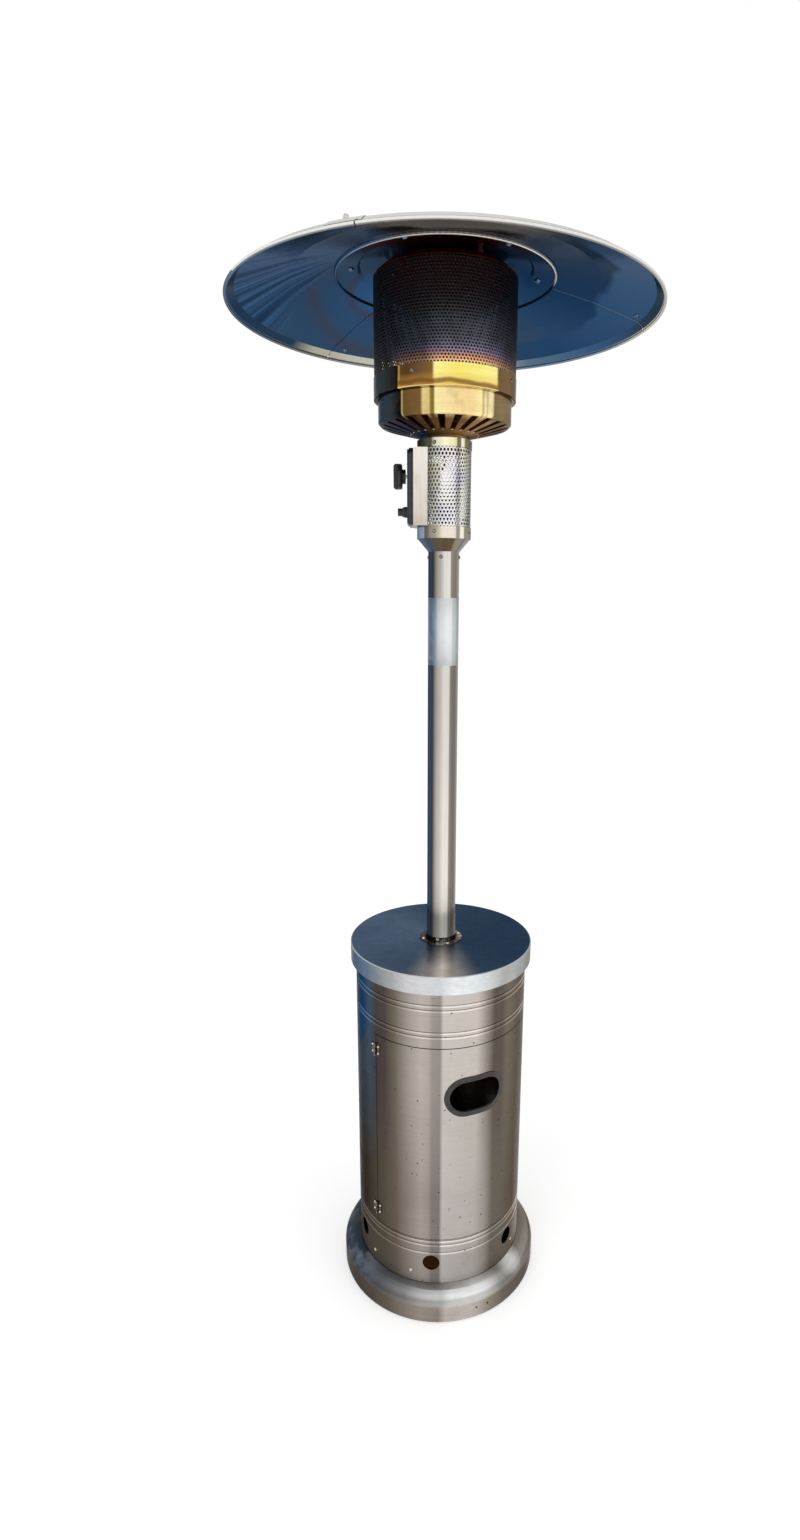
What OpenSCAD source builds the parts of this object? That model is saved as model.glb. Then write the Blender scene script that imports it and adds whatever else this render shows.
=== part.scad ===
// Free-standing gas patio heater: round drum with a hinged door, straight post,
// valve housing with a control box, round burner and a three-panel reflector.
// +Z is up, the ground is z = 0 and the post stands on the Z axis.
// Azimuths are in degrees: 0 points along -Y, the front, and 90 along +X.

/* [Base] */
// Outer radius of the pressed base
base_r = 228; // [215:1:245]
// Height of the base's upright skirt above the ground
base_skirt_h = 42; // [30:1:50]
// Height at which the drum stands on the base
base_h = 71; // [64:1:85]
// Rise of the tank floor above the drum's seat
floor_rise = 33; // [28:1:36]
// Sheet thickness of the base
base_t = 1.2; // [1:0.1:2]
// Width of the flange turned in under the skirt
base_flange_w = 24; // [20:1:28]
// Thickness of the ballast ring inside the base
ballast_t = 8; // [5:1:12]
// Width of the ballast ring
ballast_w = 76; // [50:1:90]
// Radius of a rubber foot
foot_r = 9; // [7:0.5:10]
// Height of a rubber foot
foot_h = 3; // [2:0.5:5]

/* [Drum] */
// Outer radius of the drum
drum_r = 190.7; // [186:0.1:196]
// Sheet thickness of the drum
drum_t = 1; // [0.8:0.1:1.2]
// Height of the drum above its seat
drum_h = 749.8; // [730:0.1:780]
// Radius of a vent hole
vent_r = 19; // [12:1:22]
// Height of the vent holes above the tank floor
vent_lift = 20; // [18:1:26]
// Depth of a rolled groove
groove_depth = 1.4; // [0.8:0.1:2]
// Width of a rolled groove
groove_w = 6; // [4:0.5:7]

/* [Lid] */
// Outer radius of the lid
lid_r = 202; // [200:1:206]
// Height of the lid's rim
lid_rim_h = 40; // [30:1:45]
// Sheet thickness of the lid
lid_t = 1.2; // [1:0.1:1.6]

/* [Door] */
// Height of the door's lower edge above the drum's seat
door_rise = 113; // [110:1:130]
// Height of the door
door_h = 471; // [430:1:480]
// Azimuth of the hinge side
hinge_az = -46.6; // [-50:0.1:-44]
// Angle that the door covers
door_span = 141.6; // [136:0.1:143]
// Gap between the door and the drum
door_gap = 1.5; // [1:0.1:2.5]
// Width of the hand hole
hole_w = 118; // [100:1:124]
// Height of the hand hole
hole_h = 70; // [60:1:78]
// Drop of the hand hole's centre below the door's upper edge
hole_drop = 118; // [100:1:140]
// Face width of the trim round the hand hole
trim_w = 11; // [8:0.5:14]

/* [Post] */
// Outer radius of the post
post_r = 31.5; // [30.5:0.1:33]
// Wall of the post
post_t = 1.2; // [1:0.1:1.6]
// Length of post that shows above the lid
post_l = 833; // [700:1:900]

/* [Valve housing] */
// Height of the cone between post and housing
reducer_h = 24; // [20:1:30]
// Outer radius of the housing's bands
housing_r = 54; // [53:0.5:56]
// Height of the housing
housing_h = 183; // [180:1:200]
// Thickness of the perforated guard
guard_t = 0.8; // [0.6:0.1:1]
// Thickness of the housing's bands
band_t = 1; // [0.8:0.1:1.2]
// Height of the control box
box_h = 143; // [138:1:146]
// Width of the control box
box_w = 84; // [76:1:90]
// Distance from the post's axis to the control box's front
box_reach = 60; // [58:1:66]
// Depth of the moulded face plate
plate_depth = 12; // [9:1:14]

/* [Controls] */
// Radius of the knob's skirt
knob_r = 24; // [20:0.5:27]
// Depth of the knob's skirt
knob_skirt_h = 8; // [6:0.5:10]
// Depth of the knob's grip
knob_grip_h = 9; // [7:0.5:12]
// Width of the knob's grip
knob_grip_w = 13; // [10:0.5:16]
// Travel of the knob when pushed
knob_travel = 4; // [3:0.5:5]
// Radius of the igniter button
button_r = 7.5; // [6:0.5:8]
// Travel of the igniter button
button_travel = 5; // [4:0.5:6]

/* [Burner] */
// Outer radius of the slotted pan and its wall
pan_r = 129; // [124:1:131]
// Height of the neck under the pan
neck_h = 6; // [4:1:10]
// Rise of the pan's slotted cone
pan_rise = 22; // [16:1:28]
// Height of the pan's wall
pan_wall_h = 42; // [34:1:50]
// Number of slots in the pan
slot_n = 24; // [18:1:26]
// Width of a slot
slot_w = 11; // [9:0.5:13]
// Outer radius of the burner band
burner_r = 137.2; // [136:0.1:140]
// Height of the burner band
burner_band_h = 38; // [32:1:44]
// Height of the emitter above the burner deck
emitter_h = 205; // [180:1:230]
// Rise of the emitter's cap
cap_rise = 12.8; // [8:0.1:18]

/* [Reflector] */
// Outer radius of the reflector
reflector_r = 406.5; // [390:0.5:425]
// Height of the standoffs between the cap and the reflector
standoff_h = 22; // [20:1:30]
// Sheet thickness of the reflector
reflector_t = 0.9; // [0.8:0.1:1.2]
// Radius of the centre disc
disc_r = 207; // [200:1:214]
// Fall of the disc from its flat centre to its edge
disc_fall = 30; // [24:1:36]
// Fall of a panel from the disc's edge to the rim's corner
panel_fall = 46; // [38:1:52]
// Height of the rim's flared skirt above its bead
rim_h = 10; // [8:1:14]
// Distance that the flared skirt runs outwards
rim_run = 17; // [12:1:20]
// Radius of the rim's rolled bead
bead_r = 3; // [2.5:0.5:4]
// Azimuth of the first seam between panels
seam_az = -19; // [-30:1:-10]

/* [Hidden] */
$fn = 96;
small_fn = 32;

// Clearances: nested sheets, running fits, pieces that move past each other
seat_gap = 0.1;
run_gap = 0.05;
free_gap = 0.4;
over = 1;
// Fasteners: a screw is 1 thick across its shank radius
screw_r = 2;
screw_n = 4;
bolt_r = 3;
head_share = 1.9;
head_top_share = 1.3;
head_h_share = 0.9;

// Heights along the post
seat_z = base_h;
floor_z = seat_z + floor_rise;
drum_top = seat_z + drum_h;
lid_top = drum_top + lid_t;
post_top = lid_top + post_l;
housing_z = post_top + reducer_h;
housing_top = housing_z + housing_h;
cone_z = housing_top + neck_h;
wall_z = cone_z + pan_rise;
lip_z = wall_z + pan_wall_h;
pan_t = 1;
burner_z = lip_z + pan_t;
deck_t = 1.2;
deck_z = burner_z + band_t;
emitter_z = deck_z + deck_t;
emitter_top = emitter_z + emitter_h;
cap_z = emitter_top + cap_rise;
disc_z = cap_z + standoff_h;

drum_ri = drum_r - drum_t;
post_ri = post_r - post_t;
guard_r = housing_r - band_t - seat_gap;
guard_ri = guard_r - guard_t;
emitter_r = burner_r - band_t - seat_gap;
emitter_t = 0.8;

// Sheet outlines: a line of points and its copy moved to the left of travel
function unit(v) = v / norm(v);
function left_of(v) = [-v[1], v[0]];
function shifted(p, t) = [for (i = [0 : len(p) - 1])
    let (a = unit(i > 0 ? p[i] - p[i - 1] : p[i + 1] - p[i]),
         b = unit(i < len(p) - 1 ? p[i + 1] - p[i] : p[i] - p[i - 1]),
         n = unit(left_of(a) + left_of(b)))
    p[i] + n * t / (n * left_of(a))];
function sheet(p, t) = let (q = shifted(p, t))
    concat(p, [for (i = [len(q) - 1 : -1 : 0]) q[i]]);
// Height and slope in degrees, downwards and outwards, of a line at radius r
function part_at(p, r) = [for (i = [0 : len(p) - 2]) if (p[i][0] <= r && r < p[i + 1][0]) i][0];
function line_z(p, r) = let (i = part_at(p, r))
    p[i][1] + (p[i + 1][1] - p[i][1]) * (r - p[i][0]) / (p[i + 1][0] - p[i][0]);
function line_fall(p, r) = let (i = part_at(p, r), d = p[i + 1] - p[i]) -atan(d[1] / d[0]);
// Angle that a length covers on a circle
function arc_of(l, r) = l / r * 180 / PI;

module at_az(a) { rotate([0, 0, a]) children(); }
module around(n, first = 0) { for (i = [0 : n - 1]) at_az(first + i * 360 / n) children(); }
// A place on the outside of a cylinder, with the child's +Z pointing outwards
module out(a, r, z) { at_az(a) translate([0, -r, z]) rotate([90, 0, 0]) children(); }
// A place on the left side, with the child's +Z pointing along -X
module to_left(x, y, z) { translate([-x, y, z]) rotate([0, -90, 0]) children(); }
module pie(a, w) { rotate([0, 0, a - 90]) rotate_extrude(angle = w) children(); }
module ring(r, t, z, h) { rotate_extrude() translate([r - t, z]) square([t, h]); }
module arc_wall(a, w, r, t, z, h) { pie(a, w) translate([r - t, z]) square([t, h]); }
module rod(r, h) { cylinder(h = h, r = r, $fn = small_fn); }
module screw_head(r)
    cylinder(h = r * head_h_share, r1 = r * head_share, r2 = r * head_top_share, $fn = small_fn);
module screw(r, l) {
    screw_head(r);
    translate([0, 0, -l]) rod(r, l);
}
module hex_bar(across, h) { cylinder(h = h, r = across / sqrt(3), $fn = 6); }
module obround(w, h) {
    square([w - h, h], center = true);
    for (s = [-1, 1]) translate([s * (w - h) / 2, 0]) circle(d = h);
}
// A slot that points at the middle, w1 wide at its outer end r1 and w0 at its inner end r0
module slot_hole(r0, r1, w0, w1) {
    y0 = -r0 - w0 / 2;
    y1 = -r1 + w1 / 2;
    polygon([[-w1 / 2, y1], [w1 / 2, y1], [w0 / 2, y0], [-w0 / 2, y0]]);
    translate([0, y0]) circle(d = w0, $fn = small_fn);
    translate([0, y1]) circle(d = w1, $fn = small_fn);
}

// Base: a pressed dish, open below, with a domed shoulder and a raised tank floor
seat_w = 1.8;
riser_r = drum_ri - free_gap;
dome_r = drum_r + seat_w;
dome_shares = [[0.06, 0.14], [0.28, 0.52], [0.62, 0.83], [1, 1]];
base_line = concat(
    [[base_r - base_flange_w, foot_h], [base_r, foot_h], [base_r, base_skirt_h]],
    [for (s = dome_shares) [base_r - s[0] * (base_r - dome_r),
                            base_skirt_h + s[1] * (base_h - base_skirt_h)]],
    [[riser_r, base_h], [riser_r, floor_z], [0, floor_z]]);
foot_n = 6;
foot_ring_r = base_r - base_flange_w / 2;
foot_stem_r = 3;
vent_first_az = -5;
vent_n = 6;
vent_z = floor_z + vent_lift;
drum_screw_az = [-50, -19, 62, 122, 182, 242];
drum_screw_z = seat_z + floor_rise * 0.75;
drum_screw_l = 12;
skirt_hole_az = [22, 29];
skirt_hole_r = 2.6;
skirt_hole_z = base_skirt_h * 0.62;

// Legs: three folded channels that carry the top plate over the tank
leg_inset = 9;
leg_r = drum_ri - leg_inset;
leg_w = 32;
leg_depth = 14;
leg_t = 2;
leg_tab = 30;
leg_az = [204, 104, -56];
leg_bolt_r = leg_r - leg_tab * 0.62;
plate_t = 3;
socket_t = 3;
socket_z = drum_top - socket_t;
plate_z = socket_z - plate_t;
leg_h = plate_z - floor_z;
socket_r = 62;
socket_wall = 2.5;
socket_tube_r = post_ri - seat_gap;
socket_tube_h = 90;
flange_bolt_r = 41;
flange_bolt_az = 20;
collar_r = 47;
collar_t = 1.5;
collar_rise = 10;
collar_wall = 1.5;
collar_screw_l = collar_t + lid_t + socket_t + plate_t + over;

// Gas way: inlet fitting, supply tube, valve, outlet tube and orifice
gas_x = -18;
gas_tube_r = 4;
gas_tube_t = 1;
inlet_thread_r = 7.9;
inlet_thread_l = 14;
inlet_hex_h = 9;
inlet_hex = 22;
inlet_body_r = 6.5;
knob_z = housing_z + housing_h * 0.645;
igniter_z = housing_z + housing_h * 0.281;
valve_h = 50;
valve_w = 40;
valve_near = 8;
valve_far = 50;
plug_r = 7;
plug_l = 28;
stem_r = 3;
outlet_r = 3.2;
outlet_bend = 8;
orifice_hex = 16;
orifice_h = 14;
orifice_z = cone_z;
pilot_side = 12;
pilot_x = -36;

// Control box
box_z = housing_z + housing_h * 0.131;
box_t = 1;
box_front = box_reach;
plate_front = box_reach + plate_depth;
plate_margin = 2.5;
plate_corner = 14;
knob_neck_r = 13.5;
knob_neck_l = 7;
knob_back = plate_front + knob_travel + knob_neck_l;
knob_front = knob_back + knob_skirt_h;
knob_end = knob_front + knob_grip_h;
igniter_r = 9;
bezel_r = 10.5;
bezel_h = 11;
igniter_l = 30;
button_out = 9;

// Burner
neck_r = 46;
spigot_h = 12;
pan_edge = 4;
lip_w = 6;
slot_r0 = 72;
slot_r1 = 120;
slot_taper = 0.66;
mixer_r = 15.6;
mixer_drop = 44;
mixer_t = 1;
mixer_port_n = 8;
mixer_port_r = 4;
bowl_r = 62;
bowl_h = 9;
bowl_lift = 40;
band_screw_az = -25.5;
housing_screw_az = -21;

// Reflector: line of the disc's underside and of a panel's underside
disc_flat_share = 0.57;
disc_line_shares = [[0.773, 0.43], [0.797, 0.6], [1, 1]];
disc_line = concat([[0, disc_z], [disc_r * disc_flat_share, disc_z]],
    [for (s = disc_line_shares) [disc_r * s[0], disc_z - disc_fall * s[1]]]);
panel_start = disc_r * 0.812;
panel_lift = (reflector_t + seat_gap) / cos(line_fall(disc_line, panel_start));
rim_end_r = reflector_r - bead_r * 0.8;
corner_r = rim_end_r - rim_run;
panel_line_shares = [[0.46, 0.36], [0.8, 0.76], [1, 1]];
edge_z = disc_z - disc_fall + panel_lift;
panel_slope_line = concat(
    [[panel_start, line_z(disc_line, panel_start) + panel_lift], [disc_r, edge_z]],
    [for (s = panel_line_shares) [disc_r + s[0] * (corner_r - disc_r),
                                  edge_z - s[1] * panel_fall]]);
corner_z = edge_z - panel_fall;
bead_z = corner_z - rim_h - bead_r;
joggle = reflector_t + seat_gap;
// The lap of the next panel stops short of this panel's bead
lap_fall = rim_h - over;
lap_line = concat(panel_slope_line,
    [[corner_r + rim_run * lap_fall / (rim_h + bead_r), corner_z - lap_fall]]);
panel_line = concat(panel_slope_line, [[rim_end_r, bead_z]]);
panel_n = 3;
seam_gap_deg = 0.35;
step_deg = 0.9;
lap_deg = 7.5;
bolt_lag = 4;
inner_bolt_r = disc_r * 0.85;
outer_bolt_r = reflector_r * 0.922;
stud_r = disc_r * 0.483;
stud_az = 37;
stud_n = 3;
spacer_r = 6;
inner_bolt_n = 2 * panel_n;
bolt_stack = 2 * reflector_t + 2 * seat_gap;
nut_r = 5.4;
nut_rise = 7;

// Places of the screws, shared by the holes and the screws
module at_drum_screws() { for (a = drum_screw_az) out(a, drum_r, drum_screw_z) children(); }
module at_leg_bolts() { for (a = leg_az) at_az(a) translate([0, -leg_bolt_r, 0]) children(); }
module at_collar_screws() {
    around(screw_n, flange_bolt_az) translate([0, -flange_bolt_r, lid_top + collar_t]) children();
}

module base_cover() color("lightsteelblue") difference() {
    rotate_extrude() polygon(sheet(base_line, base_t));
    at_drum_screws() translate([0, 0, -drum_screw_l]) rod(screw_r + seat_gap, drum_screw_l);
    at_leg_bolts() translate([0, 0, floor_z - over - base_t]) rod(bolt_r + seat_gap, base_t + 2 * over);
    around(foot_n) translate([0, -foot_ring_r, 0])
        rod(foot_stem_r + seat_gap, foot_h + base_t + over);
    for (a = skirt_hole_az) out(a, base_r - base_t - over, skirt_hole_z)
        rod(skirt_hole_r, base_t + 2 * over);
}

module base_ballast() color("dimgray")
    rotate_extrude() translate([base_r - base_t - free_gap - ballast_w, foot_h + base_t])
        square([ballast_w, ballast_t]);

module rubber_feet() color("black") around(foot_n) translate([0, -foot_ring_r, 0]) {
    rod(foot_r, foot_h);
    rod(foot_stem_r, foot_h + base_t);
}

module leg() difference() {
    union() {
        translate([-leg_w / 2, -leg_r, floor_z]) cube([leg_w, leg_t, leg_h]);
        for (s = [0, 1]) mirror([s, 0, 0])
            translate([leg_w / 2 - leg_t, -leg_r, floor_z]) cube([leg_t, leg_depth, leg_h]);
        for (z = [floor_z, plate_z - leg_t])
            translate([-leg_w / 2, -leg_r, z]) cube([leg_w, leg_tab, leg_t]);
    }
    for (z = [floor_z, plate_z - leg_t]) translate([0, -leg_bolt_r, z - over])
        rod(bolt_r + seat_gap, leg_t + 2 * over);
}
module support_legs() color("darkgray") for (a = leg_az) at_az(a) leg();

module leg_bolts() color("silver") {
    at_leg_bolts() translate([0, 0, floor_z + leg_t]) screw(bolt_r, leg_t + base_t + bolt_r);
    at_leg_bolts() translate([0, 0, plate_z - leg_t]) mirror([0, 0, 1])
        screw(bolt_r, leg_t + plate_t + bolt_r / 2);
}

module top_plate() color("darkgray") difference() {
    translate([0, 0, plate_z]) cylinder(h = plate_t, r = leg_r - leg_t);
    at_leg_bolts() translate([0, 0, plate_z - over]) rod(bolt_r + seat_gap, plate_t + 2 * over);
    at_collar_screws() translate([0, 0, -collar_screw_l]) rod(screw_r + seat_gap, collar_screw_l);
    translate([gas_x, 0, plate_z - over]) rod(inlet_body_r + seat_gap, plate_t + 2 * over);
}

module post_socket() color("darkgray") difference() {
    union() {
        translate([0, 0, socket_z]) cylinder(h = socket_t, r = socket_r);
        translate([0, 0, socket_z]) cylinder(h = socket_tube_h, r = socket_tube_r);
    }
    translate([0, 0, socket_z - over])
        cylinder(h = socket_tube_h + 2 * over, r = socket_tube_r - socket_wall);
    at_collar_screws() translate([0, 0, -collar_screw_l]) rod(screw_r + seat_gap, collar_screw_l);
}

// Drum: one rolled sheet with grooves, vents and the door's opening
groove_height_shares = [0.104, 0.131, 0.145, 0.811, 0.825, 0.892, 0.907];
drum_line = concat([[drum_r, seat_z]],
    [for (s = groove_height_shares, k = [-1, 0, 1])
        [drum_r - (k == 0 ? groove_depth : 0), seat_z + drum_h * s + k * groove_w / 2]],
    [[drum_r, drum_top]]);
door_z0 = seat_z + door_rise;
door_z1 = door_z0 + door_h;
door_gap_deg = arc_of(door_gap, drum_r);
module drum_shell() color("tan") difference() {
    rotate_extrude() polygon(sheet(drum_line, drum_t));
    arc_wall(hinge_az, door_span, drum_r + over, drum_t + 2 * over, door_z0, door_h);
    around(vent_n, vent_first_az) translate([0, over - drum_r, vent_z]) rotate([90, 0, 0])
        translate([0, 0, -vent_r]) cylinder(h = 2 * vent_r, r = vent_r);
    at_hinges() at_leaf_rivets(-1) translate([0, 0, -drum_t - over])
        rod(rivet_r + seat_gap, drum_t + 2 * over);
    at_drum_screws() translate([0, 0, -drum_t - over]) rod(screw_r + seat_gap, drum_t + 2 * over);
}

module drum_screws() color("silver") at_drum_screws()
    translate([0, 0, seat_gap / 2]) screw(screw_r, drum_screw_l - over);

// Frame spot-welded inside the door's opening; the closed door lies over it
frame_t = 1.2;
frame_lap = 8;
frame_out = 10;
frame_r = drum_ri - free_gap;
frame_ri = frame_r - frame_t;
module door_frame() color("gray") difference() {
    arc_wall(hinge_az - arc_of(frame_out, drum_r), door_span + 2 * arc_of(frame_out, drum_r),
        frame_r, frame_t, door_z0, door_h + frame_out / 2);
    arc_wall(hinge_az + arc_of(frame_lap, drum_r), door_span - 2 * arc_of(frame_lap, drum_r),
        frame_r + over, frame_t + 2 * over, door_z0 + frame_lap, door_h - 2 * frame_lap);
}

// Hinges: two small butt hinges with a pin outside the drum
hinge_l = 26;
hinge_inset = 36;
knuckle_r = 2.6;
pin_r = 1.2;
leaf_t = 1;
leaf_w = 13;
leaf_off = 0.5;
hinge_axis_r = drum_r + knuckle_r + 0.5 * leaf_t;
hinge_zs = [door_z0 + hinge_inset - hinge_l / 2, door_z1 - hinge_inset - hinge_l / 2];
knuckle_h = (hinge_l - 2 * free_gap) / 3;
knuckle_step = knuckle_h + free_gap;
rivet_r = 1.5;
rivet_out_share = 0.68;
leaf_r = drum_r + seat_gap + leaf_t;
module leaf(side, zones) difference() {
    union() {
        difference() {
            arc_wall(hinge_az + arc_of(side > 0 ? leaf_off : -leaf_w, drum_r),
                arc_of(leaf_w - leaf_off, drum_r), leaf_r, leaf_t, 0, hinge_l);
            for (k = [0, 1, 2]) if (len([for (q = zones) if (q == k) q]) == 0)
                at_az(hinge_az) translate([0, -hinge_axis_r, k * knuckle_step - free_gap])
                    cylinder(h = knuckle_h + 2 * free_gap, r = knuckle_r + free_gap, $fn = small_fn);
        }
        for (k = zones) at_az(hinge_az) translate([0, -hinge_axis_r, k * knuckle_step])
            rod(knuckle_r, knuckle_h);
    }
    at_az(hinge_az) translate([0, -hinge_axis_r, -over]) rod(pin_r + run_gap, hinge_l + 2 * over);
    at_leaf_rivets(side) translate([0, 0, -over]) rod(rivet_r + seat_gap, leaf_t + 2 * over);
}
module at_leaf_rivets(side) for (z = [hinge_l / 5, hinge_l * 4 / 5])
    out(hinge_az + side * arc_of(leaf_w * rivet_out_share, drum_r), leaf_r - leaf_t, z) children();
module at_hinges() { for (z = hinge_zs) translate([0, 0, z]) children(); }
module leaf_rivets(side) at_hinges() at_leaf_rivets(side) {
    translate([0, 0, -drum_t - 2 * seat_gap]) rod(rivet_r, drum_t + leaf_t + 3 * seat_gap);
    translate([0, 0, leaf_t + seat_gap])
        cylinder(h = rivet_r, r1 = rivet_r * 1.8, r2 = rivet_r, $fn = small_fn);
}
module hinge_fixed_leaves() color("silver") at_hinges() leaf(-1, [0, 2]);
module hinge_door_leaves() color("silver") at_hinges() leaf(1, [1]);
module hinge_pins() color("silver") at_hinges() at_az(hinge_az) translate([0, -hinge_axis_r, 0]) {
    rod(pin_r, hinge_l);
    for (z = [-leaf_t, hinge_l]) translate([0, 0, z]) rod(knuckle_r * 0.75, leaf_t);
}
module hinge_drum_rivets() color("silver") leaf_rivets(-1);
module hinge_door_rivets() color("silver") leaf_rivets(1);

// Door: a curved panel flush with the drum, with a trimmed hand hole
trim_t = 1.6;
trim_lip = 1.5;
hole_az = hinge_az + door_span / 2;
hole_z = door_z1 - hole_drop;
module hole_prism(w, h) out(hole_az, drum_r * 0.7, hole_z) linear_extrude(drum_r * 0.5) obround(w, h);
module door_panel() color("tan") difference() {
    arc_wall(hinge_az + door_gap_deg, door_span - 2 * door_gap_deg, drum_r, drum_t,
        door_z0 + door_gap, door_h - 2 * door_gap);
    hole_prism(hole_w + 2 * trim_lip + 2 * seat_gap, hole_h + 2 * trim_lip + 2 * seat_gap);
    at_hinges() at_leaf_rivets(1) translate([0, 0, -drum_t - over])
        rod(rivet_r + seat_gap, drum_t + 2 * over);
}
trim_span = arc_of(hole_w + 4 * trim_w, drum_r);
module hand_hole_trim() color("#3a3a3c") difference() {
    union() {
        intersection() {
            arc_wall(hole_az - trim_span / 2, trim_span, drum_r + seat_gap + trim_t, trim_t,
                hole_z - hole_h, 2 * hole_h);
            hole_prism(hole_w + 2 * trim_w, hole_h + 2 * trim_w);
        }
        intersection() {
            arc_wall(hole_az - trim_span / 2, trim_span, drum_r + seat_gap + trim_t / 2,
                drum_t + trim_t + trim_t, hole_z - hole_h, 2 * hole_h);
            hole_prism(hole_w + 2 * trim_lip, hole_h + 2 * trim_lip);
        }
    }
    hole_prism(hole_w, hole_h);
}

// Magnetic catch at the door's free side
catch_h = 44;
catch_w = 19;
catch_t = 11;
strike_w = 16;
strike_t = 1.2;
free_az = hinge_az + door_span;
catch_z = door_z0 + door_h / 2;
module magnet_catch() color("white")
    arc_wall(free_az - arc_of(catch_w, drum_r), arc_of(catch_w + frame_lap / 2, drum_r),
        frame_ri - free_gap, catch_t, catch_z - catch_h / 2, catch_h);
module catch_strike() color("silver")
    arc_wall(free_az - arc_of(frame_lap + strike_w, drum_r), arc_of(strike_w - free_gap, drum_r),
        drum_ri - seat_gap, strike_t, catch_z - catch_h / 2, catch_h);

// Lid with a turned-down rim
lid_corner = 1.5;
lid_hem = 1.2;
lid_line = [[lid_r, lid_top - lid_rim_h], [lid_r, lid_top - lid_corner],
    [lid_r - lid_corner, lid_top], [post_r + free_gap, lid_top]];
module lid() color("lightslategray") difference() {
    rotate_extrude() {
        polygon(sheet(lid_line, lid_t));
        translate([lid_r - lid_t - lid_hem, lid_top - lid_rim_h])
            square([lid_t + lid_hem, lid_corner * 3]);
    }
    at_collar_screws() translate([0, 0, -collar_screw_l]) rod(screw_r + seat_gap, collar_screw_l);
}

set_screw_az = [-14, 106, 226];
module post_collar() color("silver") difference() {
    union() {
        translate([0, 0, lid_top]) cylinder(h = collar_t, r = collar_r);
        translate([0, 0, lid_top]) cylinder(h = collar_rise, r = post_r + seat_gap + collar_wall);
    }
    translate([0, 0, lid_top - over]) cylinder(h = collar_rise + 2 * over, r = post_r + seat_gap);
    at_collar_screws() translate([0, 0, -collar_screw_l]) rod(screw_r + seat_gap, collar_screw_l);
}
module collar_screws() color("silver") {
    at_collar_screws() screw(screw_r, collar_screw_l - over);
    for (a = set_screw_az) out(a, post_r + 2 * seat_gap + collar_wall, lid_top + collar_rise * 0.55)
        screw_head(screw_r);
}

// Post and its reducing cone
post_screw_drop = 10;
post_screw_az = -10;
reducer_t = 1.5;
module at_post_screws() {
    around(screw_n, post_screw_az) translate([0, -post_r, post_top - post_screw_drop])
        rotate([90, 0, 0]) children();
}
module post() color("#b9b6b0") difference() {
    translate([0, 0, drum_top]) cylinder(h = post_top - drum_top, r = post_r);
    translate([0, 0, drum_top - over]) cylinder(h = post_top - drum_top + 2 * over, r = post_ri);
    at_post_screws() translate([0, 0, -post_t - over]) rod(screw_r + seat_gap, post_t + 2 * over);
}
reducer_line = [[post_ri - seat_gap, post_top - 3 * post_screw_drop], [post_ri - seat_gap, post_top],
    [post_r, post_top], [guard_ri - seat_gap, housing_z], [guard_ri - seat_gap, housing_z + spigot_h]];
module post_reducer() color("#b9b6b0") difference() {
    rotate_extrude() polygon(sheet(reducer_line, reducer_t));
    at_post_screws() translate([0, 0, -post_t - reducer_t - over])
        rod(screw_r + seat_gap, reducer_t + 2 * over);
    at_housing_screws() translate([0, 0, -band_t - guard_t - reducer_t - over])
        rod(screw_r + seat_gap, reducer_t + 2 * over);
}

// Valve housing: a perforated guard between two bands
lower_band_h = housing_h * 0.12;
upper_band_h = housing_h * 0.085;
guard_open_w = box_w * 0.62;
module at_housing_screws() for (z = [housing_z + lower_band_h * 0.6, housing_top - upper_band_h * 0.55])
    around(screw_n, housing_screw_az) translate([0, -housing_r, z]) rotate([90, 0, 0]) children();
module housing_bands() color("#c2b280") difference() {
    for (b = [[housing_z, lower_band_h], [housing_top - upper_band_h, upper_band_h]])
        ring(housing_r, band_t, b[0], b[1]);
    at_housing_screws() translate([0, 0, -band_t - over]) rod(screw_r + seat_gap, band_t + 2 * over);
}
module guard_opening() translate([-housing_r - over, -guard_open_w / 2, box_z + box_h * 0.08])
    cube([housing_r / 2, guard_open_w, box_h * 0.84]);
module housing_guard() color("lightgray") difference() {
    ring(guard_r, guard_t, housing_z + seat_gap, housing_h - 2 * seat_gap);
    guard_opening();
    at_housing_screws() translate([0, 0, -band_t - guard_t - over])
        rod(screw_r + seat_gap, guard_t + 2 * over);
}
module housing_screws() color("silver") {
    at_housing_screws() translate([0, 0, seat_gap / 2])
        screw(screw_r, band_t + guard_t + reducer_t + over);
    at_post_screws() translate([0, 0, seat_gap / 2]) screw(screw_r, post_t + reducer_t + over);
}

// Control box, open towards the housing, and its moulded face plate
module control_box() color("wheat") difference() {
    translate([-box_front, -box_w / 2, box_z]) cube([box_front, box_w, box_h]);
    translate([box_t - box_front, box_t - box_w / 2, box_z + box_t])
        cube([box_front, box_w - 2 * box_t, box_h - 2 * box_t]);
    translate([0, 0, box_z - over]) cylinder(h = box_h + 2 * over, r = guard_r + seat_gap);
    to_left(box_front - box_t - over, 0, knob_z) rod(stem_r + free_gap, box_t + 2 * over);
    to_left(box_front - box_t - over, 0, igniter_z) rod(igniter_r + seat_gap, box_t + 2 * over);
}
module rounded(w, h, r) {
    square([w - 2 * r, h], center = true);
    square([w, h - 2 * r], center = true);
    for (x = [-1, 1], y = [-1, 1]) translate([x * (w / 2 - r), y * (h / 2 - r)])
        circle(r = r, $fn = 2 * small_fn);
}
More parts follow.
